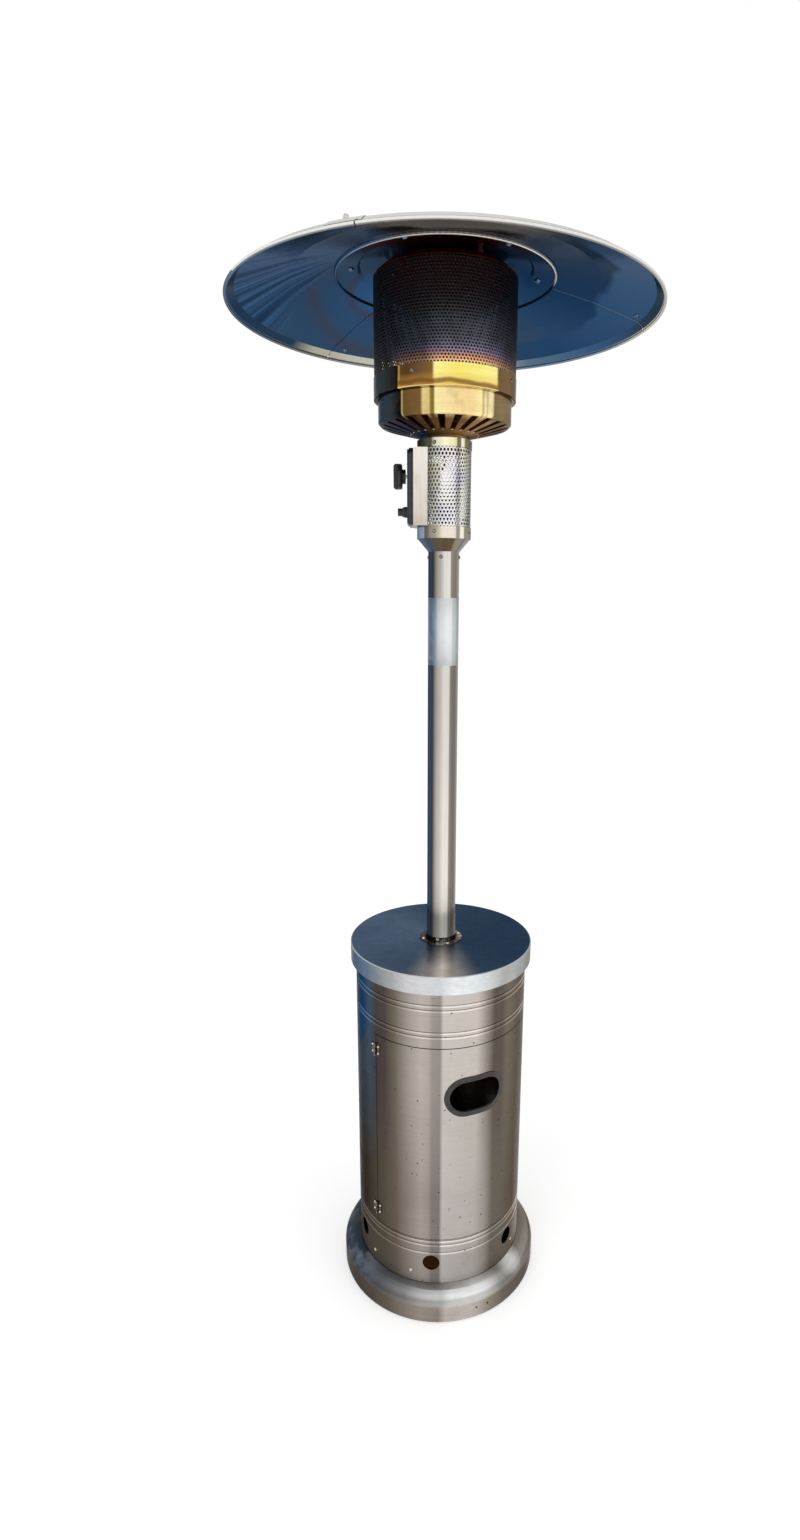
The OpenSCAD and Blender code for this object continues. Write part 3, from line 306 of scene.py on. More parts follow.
    def specks(self, tone, per_metre, size, share, spot="rust"):
        """Small round spots, in a share of the cells of a loose grid."""
        strength = 0.8
        cells = self.node("TexVoronoi", self.place, None, per_metre)
        chance = self.node("SeparateColor", cells.outputs["Color"]).outputs[0]
        wide = self.spread(chance, 1 - share, 1, 0, size * per_metre)
        spots = self.math("LESS_THAN", cells.outputs["Distance"], wide)
        return self.blend(self.times(spots, strength), tone, spot)

    def rolled(self, tone, up, down):
        """Painted light and shade on grooves and edges: lighter where the sheet turns up, darker
        down.
        """
        flat, steep = 0.05, 0.35
        turned = self.times(self.spread(self.facing()[2], flat, steep, 1, 1 + up),
                            self.spread(self.facing()[2], -flat, -steep, 1, 1 + down))
        return self.tinted(tone, turned)

    def grained(self, per_metre, bump, detail=2):
        """A fine grain in the surface."""
        self.height, self.bump_strength = self.noise(per_metre, detail=detail), bump

    def brushed(self, tone, per_metre=260, stretch=(0.04, 0.04, 1), depth=0.10, bump=0.10):
        """Fine brush marks in the tone and in the surface."""
        self.height, self.bump_strength = self.noise(per_metre, stretch, 4), bump
        return self.tinted(tone, self.spread(self.height, self.noise_low, self.noise_high,
                                             1 - depth, 1 + depth))

    def soft(self, share):
        """Part metal, part plain: the tone shows even where the surroundings are dark."""
        self.put("Metallic", share)
        self.put("Specular IOR Level", 0)

    def dress(self, piece):
        """Gives the material to a piece, in place of what it had."""
        piece.data.materials.clear()
        piece.data.materials.append(self.material)

    def done(self, tone, *nodes, rough=None):
        """Hands the tone, the roughness and the bumps to the shader, and dresses the CAD nodes."""
        rough_per_metre, bump_depth = 30, 0.0006
        self.put("Base Color", tone)
        if rough:
            cloudy = self.spread(self.noise(rough_per_metre, detail=4), self.noise_low,
                                 self.noise_high, *rough)
            self.put("Roughness", cloudy)
        if self.height is not None:
            bump = self.node("Bump")
            bump.inputs["Strength"].default_value = self.bump_strength
            bump.inputs["Distance"].default_value = bump_depth
            self.feed(bump.inputs["Height"], self.height)
            self.put("Normal", bump.outputs[0])
        for name in nodes:
            self.dress(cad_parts[name])


skirt_top, dome_start, dome_lift = 0.038, 0.050, (1.3, 1.3, 1.3, 1)
sky_patch_from, sky_patch_full = -35, -55
glint_at, glint_reach, glint_core = (0.165, -0.120, 0.075), 0.040, 0.010
tank_floor_r, tank_floor_brown = 0.185, "8a5c38"
front_vent, vent_reach, vent_core, vent_glow = (0.0, -0.135, 0.104), 0.075, 0.050, 0.08
base = Finish("base_satin_steel", roughness=0.34)
# painted reflections on the skirt and the dome, by azimuth
skirt = base.bands([
    (-90, "585048"), (-40, "585048"), (-30, "665c50"), (-20, "80786e"), (-10, "968c82"),
    (0, "8c8278"), (4, "c4bcb4"), (22, "b8b0aa"), (30, "908878"), (40, "746c64"), (62, "706860"),
    (90, "b8b0a8"),
])
dome = base.bands([
    (-90, "343c46"), (-60, "2c343e"), (-40, "42464c"), (-30, "5e5e60"), (-20, "767676"),
    (-10, "a0a0a0"), (2, "b0b0b0"), (8, "d8d8d8"), (22, "dcdcdc"), (30, "c4c4c4"), (40, "908e8c"),
    (48, "84807c"), (60, "807c76"), (90, "7c7468"),
])
# painted reflections: light and dark rings on the dome, with a painted highlight where it turns
# down to the skirt
rings = base.ramp(base.radius(), [
    (0.190, (0.50, 0.48, 0.46, 1)), (0.200, (0.60, 0.59, 0.58, 1)), (0.210, 0.90), (0.214, 1),
    (0.2185, 1), (0.2225, 0.66), (0.2262, 0.8), (0.2285, 0.8),
])
dome = base.tinted(base.tinted(dome, dome_lift), rings)
# painted reflections of the sky in blue patches at the left, and a painted glint at the right
painted_sky_patches = base.times(base.spread(base.side(), sky_patch_from, sky_patch_full),
                  base.clouds(22, 0.45, 0.6, detail=4), 0.6)
dome = base.blend(painted_sky_patches, dome, "6c7480")
glint = base.spread(base.near(glint_at), glint_reach, glint_core, 0, 0.75)
dome = base.blend(glint, dome, "white")
tone = base.blend(base.spread(base.z, skirt_top, dome_start), skirt, dome)
tone = base.brushed(tone, depth=0.08)
tone = base.blotches(tone, "earth", 9, 0.5, 0.72, share=0.35)
tone = base.specks(tone, 60, size=0.0012, share=0.05)
# the raised floor is painted brown where it shows through the vents, with a painted glow behind the
# front one
floor_in = base.spread(base.radius(), tank_floor_r + 0.001, tank_floor_r - 0.001)
tone = base.blend(floor_in, tone, tank_floor_brown)
base.put("Emission Color", tank_floor_brown)
by_vent = base.spread(base.near(front_vent), vent_reach, vent_core, 0, vent_glow)
base.put("Emission Strength", base.times(floor_in, by_vent))
base.done(tone, "base_cover", rough=(0.26, 0.4))


# Ballast ring and rubber feet. The ring is a black coated steel casting that sits inside the
# skirt; six moulded rubber studs are pushed through the turned-in flange.
coat = Finish("black_coated_casting", metallic=0.0, roughness=0.6)
coat.grained(420, bump=0.35, detail=3)
coat.done(coat.mottled("black", "soot", 55), "base_ballast", rough=(0.5, 0.7))

rubber = Finish("moulded_rubber", metallic=0.0, roughness=0.75)
rubber.grained(900, bump=0.2)
tone = rubber.mottled("black", "soot", 140, 0.3, 0.8, detail=2)
rubber.done(tone, "rubber_feet", rough=(0.65, 0.85))


# Legs, top plate and socket, with the catch and the tilt switch. Three folded channels stand on
# the raised floor and carry a plate with the tube that the post slides over. All are sheet steel
# with a dull zinc plating.
zinc = Finish("zinc_plated_steel", roughness=0.38)
tone = zinc.mottled("taupe", "dove", 38, 0.35, 0.68, detail=6)
tone = zinc.brushed(tone, 120, (1, 1, 0.15), depth=0.08, bump=0.08)
tone = zinc.blotches(tone, "earth", 14, 0.58, 0.74, share=0.5)
zinc.done(tone, "support_legs", "top_plate", "post_socket", "magnet_catch", "tilt_switch",
          rough=(0.3, 0.5))


# Bolts, screws, rivets, pins, studs and nuts, with the valve's stem and the catch's strike. All
# are bright stainless; those by the burner are dulled by heat, and the hood's carry a painted
# reflection of the sky.
bright = Finish("bright_fasteners", roughness=0.22)
tone = bright.mottled("dove", "pearl", 320, 0.35, 0.65, detail=4)
tone = bright.blotches(tone, "orange", 90, 0.62, 0.75, share=0.55)
bright.done(tone, "leg_bolts", "drum_screws", "hinge_pins", "hinge_drum_rivets",
            "hinge_door_rivets", "collar_screws", "catch_strike", "igniter_nut", "valve_stem",
            "standoff_studs", "wing_nuts", "acorn_nuts", rough=(0.14, 0.32))

dulled = Finish("heat_dulled_fasteners", roughness=0.26)
tone = dulled.mottled("605c50", "a8a494", 500, 0.4, 0.6, detail=3)
# painted light and shade by slope: lighter where the heads turn up, darker where they turn down
tone = dulled.rolled(tone, up=0.6, down=-0.5)
dulled.done(tone, "housing_screws", "band_screws", rough=(0.16, 0.34))

# the bolts under the hood are painted with the blue of the sky's reflection
sky_painted_bolts = Finish("bolts_under_the_hood", roughness=0.26)
tone = sky_painted_bolts.mottled("38485c", "70809a", 500, 0.4, 0.6, detail=3)
sky_painted_bolts.done(tone, "reflector_bolts", rough=(0.16, 0.34))


# Drum, door frame, door and hinges. The drum is a rolled stainless sheet, brushed round and
# beaded near its top; the frame is welded inside its opening and the door hangs on two leaves.
drum_low, drum_high = 0.30, 0.56
sky_top, sky_slope, sky_edge, sky_end = 0.66, 250.0, -52, -78.0
door_top, door_gap, door_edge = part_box("door_panel")[1][2] + 0.0004, 0.0011, -50
foot_low, foot_high, foot_metal = 0.12, 0.20, 0.25
drum = Finish("drum_brushed_steel", roughness=0.3, edge=0.3)
# painted reflections on the drum, by azimuth, above and below its middle
upper = drum.bands([
    (-90, "5c6872"), (-54, "505a66"), (-50, "48525e"), (-46, "4a4240"), (-38, "4a4240"),
    (-30, "686054"), (-20, "98908a"), (-12, "b0a8a0"), (-7, "a8a098"), (-5, "948c86"),
    (0, "8e8682"), (2, "c0bab4"), (24, "c0b8b0"), (31, "8e8680"), (37, "5c544a"), (44, "605850"),
    (49, "766e62"), (62, "7c7468"), (75, "9c9490"), (90, "9c9490"),
])
lower = drum.bands([
    (-90, "484440"), (-60, "544e48"), (-40, "565044"), (-30, "645a50"), (-20, "888078"),
    (-12, "a09890"), (-7, "988e88"), (-5, "807872"), (0, "7c7470"), (2, "bab4b0"), (24, "b0aaa4"),
    (32, "989088"), (38, "6c665c"), (48, "706a60"), (62, "7c7064"), (75, "b0a8a0"), (90, "bcb4ac"),
])
tone = drum.blend(drum.spread(drum.z, drum_low, drum_high), lower, upper)
# a painted reflection of the evening sky: a strip at the left, whose lower end slants
below_top = drum.math("MAXIMUM", drum.math("SUBTRACT", sky_top, drum.z), 0.0)
slanted = drum.math("ADD", drum.math("MAXIMUM", drum.side(), sky_end),
                    drum.times(below_top, sky_slope))
strip = drum.bands([(-90, "4a6484"), (-70, "3c5674"), (sky_edge, "4a5a70"), (90, "4a5a70")])
tone = drum.blend(drum.spread(slanted, sky_edge + 0.5, sky_edge - 2.5), tone, strip)
# painted light and shade on the beads and edges
tone = drum.rolled(tone, up=0.7, down=-0.4)
tone = drum.brushed(tone, 500, (0.02, 0.02, 1), depth=0.05, bump=0.04)
tone = drum.blotches(tone, "bark", 7, 0.52, 0.75, share=0.15)
tone = drum.specks(tone, 85, size=0.0021, share=0.4, spot="2c2018")
# painted shade in the gap over the door
door_gap_shade = drum.times(drum.math("COMPARE", drum.z, door_top, door_gap),
                       drum.spread(drum.side(), door_edge, door_edge + 2),
                       drum.math("LESS_THAN", drum.y, 0.0), 0.7)
tone = drum.blend(door_gap_shade, tone, "soot")
tone = drum.blend(drum.faces_in(), tone, "5c5248")
drum.soft(drum.spread(drum.z, foot_low, foot_high, foot_metal, 1))
drum.done(tone, "drum_shell", "door_panel", "door_frame", rough=(0.24, 0.36))

leaf = Finish("hinge_leaf_steel", roughness=0.3)
tone = leaf.mottled("soot", "taupe", 420, 0.45, 0.55, detail=3)
leaf.done(tone, "hinge_fixed_leaves", "hinge_door_leaves", rough=(0.2, 0.4))


# Hand-hole trim. One charcoal plastic moulding with a rolled lip, snapped into the hole that a
# hand reaches into to swing the door open.
trim = Finish("charcoal_moulding", metallic=0.0, roughness=0.45)
trim.grained(1400, bump=0.15)
trim.done(trim.mottled("1c1a1a", "343030", 70), "hand_hole_trim", rough=(0.38, 0.55))


# Lid and post collar. The lid is a spun stainless pan whose bright rim hangs over the drum;
# a pressed collar with four screws holds it down round the post, with rust at the joint.
lid_upward, lid_edge_r, lid_edge_width = 0.7, 0.1992, 0.0016
image_x, image_in, image_out, image_fade = 0.004, 0.03, 0.20, (0.02, 0.15)
image_in_half, image_out_half, image_bell = 0.045, 0.090, 1.8
collar_r, rust_r = 0.042, 0.053
lid = Finish("lid_steel", roughness=0.24)
# the top is painted with the reflection of a dark blue sky
plate = lid.round_post([
    (-180, "3c4c62"), (-130, "54667c"), (-80, "4e6078"), (-40, "48586c"), (-10, "404e60"),
    (20, "36465a"), (60, "2e4056"), (110, "304258"), (150, "34465c"), (180, "3c4c62"),
])
# a painted reflection of the post, bell-shaped and widening towards the front
aside = lid.math("ABSOLUTE", lid.math("SUBTRACT", lid.x, image_x))
ahead = lid.times(lid.y, -1.0)
half_width = lid.spread(ahead, image_in, image_out, image_in_half, image_out_half)
post_reflection = lid.spread(lid.math("DIVIDE", aside, half_width), 1.0, 0.0)
post_reflection = lid.math("POWER", post_reflection, image_bell)
post_reflection = lid.times(post_reflection, lid.spread(ahead, *image_fade, 0.0, 0.95))
plate = lid.blend(post_reflection, plate, "d8ccc0")
# a painted highlight along the top's edge
lid_edge_highlight = lid.spread(lid.radius(), lid_edge_r, lid_edge_r + lid_edge_width, 0, 0.6)
plate = lid.blend(lid_edge_highlight, plate, "ice")
# painted reflections on the rim
rim = lid.bands([
    (-90, "405c80"), (-70, "4c6888"), (-50, "68788c"), (-40, "848c8e"), (-30, "9a9c9a"),
    (-20, "c0bec0"), (0, "ccd0d2"), (8, "eaecf0"), (20, "dce0e0"), (30, "c6c8ca"), (40, "a6a8a4"),
    (60, "b4b8b2"), (90, "8c8c88"),
])
on_top = lid.math("GREATER_THAN", lid.facing()[2], lid_upward)
tone = lid.blend(on_top, rim, plate)
tone = lid.brushed(tone, 180, (0.3, 0.3, 1), depth=0.07, bump=0.05)
tone = lid.blotches(tone, "2c3a4c", 12, 0.48, 0.75, share=0.25)
rusty = lid.times(lid.spread(lid.radius(), collar_r, rust_r, 0.75, 0),
                  lid.clouds(90, 0.42, 0.62, detail=5))
tone = lid.blend(rusty, tone, "rust")
lid.soft(lid.math("SUBTRACT", 1.0, lid.times(post_reflection, on_top)))
lid.done(tone, "lid", rough=(0.18, 0.32))

joint_in, joint_out = 0.0335, 0.0385
collar = Finish("collar_steel", roughness=0.28)
# painted reflections on the collar
tone = collar.bands([
    (-90, "steel"), (-50, "bark"), (-20, "dove"), (-5, "pearl"), (15, "white"), (30, "ash"),
    (60, "earth"), (90, "dove"),
])
tone = collar.blotches(tone, "rust", 110, 0.50, 0.66, share=0.8)
joint = collar.times(collar.spread(collar.radius(), joint_in, joint_out, 0.95, 0),
                     collar.clouds(130, 0.3, 0.5, detail=4))
collar.done(collar.blend(joint, tone, "soot"), "post_collar", rough=(0.25, 0.5))


# Post. One polished stainless tube that slides over the socket, with the gas tube inside it.
# Its tones are painted: the long upright reflections that such a tube has.
head_start, head_full, head_side, head_contrast = 1.40, 1.60, 35, 0.2
lid_near, lid_clear, lid_metal = 0.84, 0.96, 0.25
post = Finish("post_polished_steel", roughness=0.2)
tone = post.bands([
    (-90, "2a3e56"), (-70, "30445a"), (-56, "3e4c5e"), (-48, "333f4e"), (-42, "383c44"),
    (-38, "54504c"), (-30, "8c867e"), (-20, "aca69e"), (-10, "b8b4ae"), (-2, "ccc8c0"),
    (4, "dcd8d0"), (24, "d8d4cc"), (29, "888278"), (40, "787068"), (52, "746e68"), (62, "8c8882"),
    (70, "b0aca6"), (90, "d8d6d0"),
])
# painted light and shade: towards the head the tube is brighter on its right and darker on its left
upward = post.times(
    post.spread(post.side(), -head_side, head_side, -head_contrast, head_contrast),
    post.spread(post.z, head_start, head_full),
)
tone = post.tinted(tone, post.math("ADD", upward, 1.0))
tone = post.brushed(tone, 500, (1, 1, 0.02), depth=0.05, bump=0.03)
tone = post.specks(tone, 70, size=0.0009, share=0.04)
post.soft(post.spread(post.z, lid_near, lid_clear, lid_metal, 1))
post.done(tone, "post", rough=(0.16, 0.26))


# Label. A bare band of clear-coated film with nothing printed on it, glued round the front of
# the post under the head.
label_low, label_high, label_lift = 1.430, 1.565, 0.00012
label_thick = label_lift * 0.8
label_edge, label_steps = math.radians(104), 64
post_low, post_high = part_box("post")
label_r = (post_high[0] - post_low[0]) / 2 + label_lift


def thicken(piece, thickness):
    """Gives a rounded sheet its smooth look, and its thickness inwards."""
    piece.data.polygons.foreach_set("use_smooth", [True] * len(piece.data.polygons))
    sheet = piece.modifiers.new("sheet", "SOLIDIFY")
    sheet.thickness, sheet.offset = thickness, -1


turns = [label_edge * (2 * i / label_steps - 1) for i in range(label_steps + 1)]
label = formed("post_label", [(label_r * math.sin(a), -label_r * math.cos(a), z)
                              for z in (label_low, label_high) for a in turns],
               [(i, i + 1, label_steps + 2 + i, label_steps + 1 + i) for i in range(label_steps)])
thicken(label, label_thick)
film = Finish("bare_label_film", metallic=0.0, roughness=0.32)
# painted reflections on the film, bluer at the left
tone = film.bands([
    (-90, "385072"), (-60, "324c6e"), (-50, "405674"), (-40, "607488"), (-30, "8898a8"),
    (-22, "c0c8d0"), (-10, "dce0e2"), (4, "e8ecec"), (12, "f4f6f8"), (32, "f4f6f6"), (38, "ccd4d2"),
    (50, "c4ced0"), (60, "98a4a4"), (90, "788484"),
])
tone = film.blotches(tone, "b9c6cc", 60, 0.5, 0.75, share=0.25)
film.done(tone)
film.dress(label)
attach(label, "root")


# Gas way. Drawn copper tubes carry the gas up through the post to the valve, and from it to the
# burner. The fitting, the valve with its plug, the orifice and the pilot are machined from brass.
copper = Finish("drawn_copper", roughness=0.3)
tone = copper.mottled("7a4428", "c07a4e", 120)
copper.done(tone, "supply_tube", "outlet_tube", rough=(0.22, 0.4))

brass = Finish("machined_brass", roughness=0.28)
brass.done(brass.mottled("8f7434", "cdb46a", 160, detail=4), "inlet_fitting", "control_valve",
           "valve_plug", "orifice", "pilot_burner", rough=(0.2, 0.4))


# Reducer and housing bands. The cone that brings the housing down to the post is spun. The two
# bands above it are rolled and polished, and the burner's heat has tinted them straw.
reducer = Finish("reducer_steel", roughness=0.26)
# painted reflections on the cone
tone = reducer.bands([
    (-90, "48607e"), (-60, "5c6e88"), (-50, "485468"), (-40, "424a54"), (-30, "504e4c"),
    (-20, "584c3e"), (-5, "665846"), (8, "625440"), (23, "5c4e3a"), (28, "847c6a"), (42, "8c8678"),
    (52, "74706c"), (62, "a8a49c"), (90, "c8c4bc"),
])
tone = reducer.brushed(tone, 260, (0.05, 0.05, 1), depth=0.08, bump=0.05)
reducer.done(tone, "post_reducer", rough=(0.2, 0.32))

housing_middle = 1.77
straw = Finish("straw_tinted_bands", roughness=0.22)
# painted reflections over the straw tint, in dark and bright bands
top_band = straw.bands([
    (-90, "181e1a"), (-60, "283028"), (-48, "343830"), (-38, "504c3e"), (-28, "544c3c"),
    (-24, "b8b09c"), (-19, "e0d8c4"), (-6, "f0e8cc"), (0, "fffcd0"), (16, "f6ecc4"), (25, "e8dcb0"),
    (27, "7c765a"), (35, "7c765a"), (37, "f8f0d8"), (44, "f0e6c8"), (47, "80785e"), (60, "746c60"),
    (90, "b8b4a8"),
])
low_band = straw.bands([
    (-90, "707e96"), (-60, "8494aa"), (-47, "909cac"), (-44, "58585a"), (-36, "6c6860"),
    (-30, "90887c"), (-18, "a49e8c"), (-10, "c8c0ac"), (-3, "ecdfd0"), (18, "f0e6d8"),
    (25, "e4d8c8"), (27, "98948a"), (34, "98948a"), (37, "f8f2de"), (45, "f0e8d4"), (48, "908c74"),
    (60, "949684"), (90, "b4b4a4"),
])
tone = straw.blend(straw.math("GREATER_THAN", straw.z, housing_middle), low_band, top_band)
tone = straw.brushed(tone, 300, (0.06, 0.06, 1), depth=0.05, bump=0.03)
straw.done(tone, "housing_bands", rough=(0.16, 0.28))


# Guard. A sheet of stainless punched with staggered holes, rolled round between the two bands.
# It stands open behind the control box, and heat has given it a faint rainbow tint.
hole_share, sheet_thick = 0.58, 0.0008


def perforated(name, radius, low, high, columns, rows, gap=None):
    """A rolled sheet with staggered six-sided holes. Each hole takes its share of a six-sided cell
    that meets its neighbours at its corners; the sheet's thickness is added inwards."""
    points, index, faces = [], {}, []
    # margin is the plain strip beyond the first and last holes, in thirds of a row
    step, margin = 2 * math.pi / columns, 2.5
    rise = 3 * (high - low) / (3 * rows - 2 + 2 * margin)
    corners = ((0, 2), (1, 1), (1, -1), (0, -2), (-1, -1), (-1, 1))

    def height_of(line):
        return low + (line + margin + 0.5) * rise / 3

    def at(column, line):
        """A point by half columns round and thirds of a row up."""
        key = (round(column % (2 * columns), 4), round(line, 4))
        if key not in index:
            index[key] = len(points)
            angle = column * step / 2
            points.append((radius * math.sin(angle), -radius * math.cos(angle), height_of(line)))
        return index[key]

    def open_here(column, line):
        if gap is None:
            return False
        angle = (column * step / 2 + math.pi) % (2 * math.pi) - math.pi
        return abs(angle - gap[0]) < gap[1] and gap[2] < height_of(line) < gap[3]

    for row in range(rows):
        for column in range(columns):
            across, up = 2 * column + row % 2, 3 * row
            if open_here(across, up):
                continue
            outer = [at(across + c, up + d) for c, d in corners]
            inner = [at(across + c * hole_share, up + d * hole_share) for c, d in corners]
            for i in range(6):
                j = (i + 1) % 6
                faces.append((outer[j], outer[i], inner[i], inner[j]))
    first, last = -0.5 - margin, 3 * (rows - 1) + 0.5 + margin
    for half in range(2 * columns):
        foot = [-2 if (half + i) % 2 == 0 else -1 for i in (0, 1)]
        faces.append((at(half, first), at(half + 1, first),
                      at(half + 1, foot[1]), at(half, foot[0])))
        head = [3 * (rows - 1) + (2 if (half + i + rows - 1) % 2 == 0 else 1) for i in (0, 1)]
        faces.append((at(half, head[0]), at(half + 1, head[1]), at(half + 1, last), at(half, last)))
    piece = formed(name, points, faces)
    thicken(piece, sheet_thick)
    return piece


guard_low, guard_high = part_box("housing_guard")
guard_r, guard_columns, guard_rows = (guard_high[1] - guard_low[1]) / 2, 48, 25
# the opening's middle and half width in radians, and its lower and upper height
guard_gap = (-math.pi / 2, 0.50, 1.715, 1.823)
guard = perforated("guard_mesh", guard_r, guard_low[2], guard_high[2], guard_columns, guard_rows,
                   guard_gap)
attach(guard, "root")
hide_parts("housing_guard")
mesh_steel = Finish("guard_steel", roughness=0.24)
# painted reflections on the sheet
tone = mesh_steel.bands([
    (-90, "5c5c60"), (-48, "6a6662"), (-38, "707070"), (-30, "98988e"), (-20, "c0c2b6"),
    (-10, "dcdad6"), (0, "f6f2f2"), (22, "f6f4f2"), (27, "b0aeb2"), (34, "b0aeb2"), (38, "f0f0e8"),
    (44, "e8e8e0"), (50, "c4c4bc"), (60, "949694"), (90, "c0c0bc"),
])
tint = mesh_steel.ramp(mesh_steel.noise(26, detail=1), [
    (0.3, "cfc6e2"), (0.5, "f0f0ee"), (0.7, "ece8b0"),
])
tone = mesh_steel.tinted(tone, tint, 0.5)
# the sheet's inner face is painted black as shade
inside = mesh_steel.math("LESS_THAN", mesh_steel.radius(), guard_r - sheet_thick / 2)
tone = mesh_steel.blend(inside, tone, "black")
mesh_steel.done(tone, rough=(0.18, 0.3))
mesh_steel.dress(guard)


# Control box. A box folded from plain stainless on the left of the housing, closed by a black
# enamelled face plate that carries the valve's knob and the igniter's push button.
box_steel = Finish("box_folded_steel", roughness=0.3)
# a painted reflection: the box is lighter towards its top
tone = box_steel.ramp(box_steel.z, [
    (1.70, "cdc3b6"), (1.74, "ddd5c9"), (1.80, "e9e2d8"), (1.846, "f1ece2"),
])
tone = box_steel.brushed(tone, 300, (1, 1, 0.04), depth=0.06, bump=0.04)
tone = box_steel.blotches(tone, "b7a994", 30, 0.55, 0.75, share=0.25)
box_steel.done(tone, "control_box", rough=(0.24, 0.36))

plate_black = Finish("face_plate_enamel", metallic=0.0, roughness=0.35)
plate_black.grained(700, bump=0.08)
plate_black.done(plate_black.mottled("14161a", "2b3038", 45), "face_plate", rough=(0.28, 0.42))


# Dial. Seven plain ticks over the knob's half turn and a digit at off, low and high, printed in
# white on the face plate; a stroke printed on the knob points at them.
mark_thick, tick_wide, tick_long, digit_size = 0.0002, 0.0008, 0.0035, 0.0065
tick_r, digit_r, tick_step, digit_step, half_turn = 0.0285, 0.0365, 30, 90, 180
pointer_r, pointer_wide, pointer_long = 0.0130, 0.0012, 0.0130
plate_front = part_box("face_plate")[0][0]
knob_low, knob_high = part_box("knob")
dial_y, dial_z = (knob_low[1] + knob_high[1]) / 2, (knob_low[2] + knob_high[2]) / 2


def facing_left(front):
    """Turns a drawing in its own plane to face left, with its middle on the knob's axis."""
    return Matrix(((0, 0, -1, front), (-1, 0, 0, dial_y), (0, 1, 0, dial_z), (0, 0, 0, 1)))


def stroke(at, wide, long):
    """The corners and faces of a thin flat block that stands on its middle."""
    corners = [at @ Vector((x * wide / 2, y * long / 2, z))
               for z in (0, mark_thick) for x, y in square]
    return corners, [(3, 2, 1, 0), (4, 5, 6, 7)] + [(i, (i + 1) % 4, (i + 1) % 4 + 4, i + 4)
                                                    for i in range(4)]


def figure(at, text):
    """The corners and faces of a digit in Blender's own letters."""
    letters = bpy.data.curves.new("digit", "FONT")
    letters.body, letters.size, letters.extrude = text, digit_size, mark_thick / 2
    letters.align_x, letters.align_y = "CENTER", "CENTER"
    holder = bpy.data.objects.new("digit", letters)
    bpy.context.collection.objects.link(holder)
    bpy.context.view_layer.update()
    glyph = bpy.data.meshes.new_from_object(holder)
    bpy.data.objects.remove(holder)
    return [at @ v.co for v in glyph.vertices], [tuple(face.vertices) for face in glyph.polygons]


def printed(name, pieces, body):
    """Joins strokes and digits in one printed mark that rides on a body."""
    points, faces = [], []
    for corners, sides in pieces:
        faces.extend([len(points) + i for i in face] for face in sides)
        points.extend(corners)
    mark = formed(name, points, faces)
    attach(mark, body)
    return mark


def turned(degrees, outward):
    """A place on the dial, so far round from the top as the knob turns, and so far out."""
    return Matrix.Rotation(math.radians(degrees), 4, "Z") @ Matrix.Translation((0, outward, 0))


on_plate = facing_left(plate_front)
marks = [stroke(on_plate @ turned(angle, tick_r), tick_wide, tick_long)
         for angle in range(0, half_turn + 1, tick_step)]
for digit, angle in enumerate(range(0, half_turn + 1, digit_step)):
    middle = turned(angle, digit_r).translation + Vector((0, 0, mark_thick / 2))
    marks.append(figure(on_plate @ Matrix.Translation(middle), str(digit)))
pointer = stroke(facing_left(knob_low[0]) @ turned(0, pointer_r), pointer_wide, pointer_long)
ink = Finish("dial_ink", metallic=0.0, roughness=0.5)
ink.done(ink.mottled("c8c8c4", "e8e8e4", 300, 0.35, 0.6, detail=3))
ink.dress(printed("dial_marks", marks, "root"))
ink.dress(printed("knob_mark", [pointer], "knob"))


# Knob and igniter. The knob, the igniter's threaded barrel and its push button are moulded in
# black glass-filled plastic.
black = Finish("black_moulding", metallic=0.0, roughness=0.4)
black.grained(1500, bump=0.12)
black.done(black.mottled("121215", "26272c", 60), "knob", "igniter_body", "igniter_button",
           rough=(0.3, 0.5))


# Burner pan. Stainless pressed to a wall and a sloping floor with a ring of slots, and a neck
# that sits on the housing. The heat has turned it gold to dark brown.
wall_low, wall_turn, under_metal = 1.890, 0.006, 0.2
slot_step, slot_first, slot_in_r, slot_out_r = 15, -3, 0.072, 0.120
slot_in_half, slot_out_half = 0.0036, 0.0055
slot_middle_r, slot_half_long, slot_under = 0.096, 0.0285, 0.002
edge_wide, edge_full = 0.0022, 0.0012
spot_r, spot_half_long, spot_half_wide = 0.0665, 0.0016, 0.0018
tones.update(night="17181b", cocoa="523f2c", bronze="765a37", flax="f4dc98", cream="f9e7ae")
pan = Finish("pan_heat_tinted", roughness=0.24)
# painted reflections over the heat tint, on the wall and then on the underside
wall = pan.bands([
    (-90, "24303e"), (-60, "34424c"), (-48, "28343c"), (-41, "100e0c"), (-38.5, "100e0c"),
    (-37.5, "d4b870"), (-36, "664f2a"), (-20, "785c36"), (-18, "e8d088"), (-13, "e0cc88"),
    (-11.5, "8c7434"), (-9, "8c7434"), (-8, "fff0ac"), (8, "f8dc9c"), (20, "f8d898"),
    (31, "fff0ac"), (33, "c8a868"), (35, "fff4c4"), (37, "d8b878"), (39, "fff0c0"), (43, "f4e0a8"),
    (45, "80704a"), (60, "947e5c"), (90, "a49478"),
])
under = pan.bands([
    (-90, "2c4058"), (-52, "2c4058"), (-40, "24282c"), (-32, "4a3826"), (-10, "6c5030"),
    (10, "8a6640"), (30, "9a7850"), (50, "b09068"), (70, "8a6a48"), (90, "5c4430"),
])
on_wall = pan.spread(pan.z, wall_low - wall_turn, wall_low)
tone = pan.blend(on_wall, under, wall)
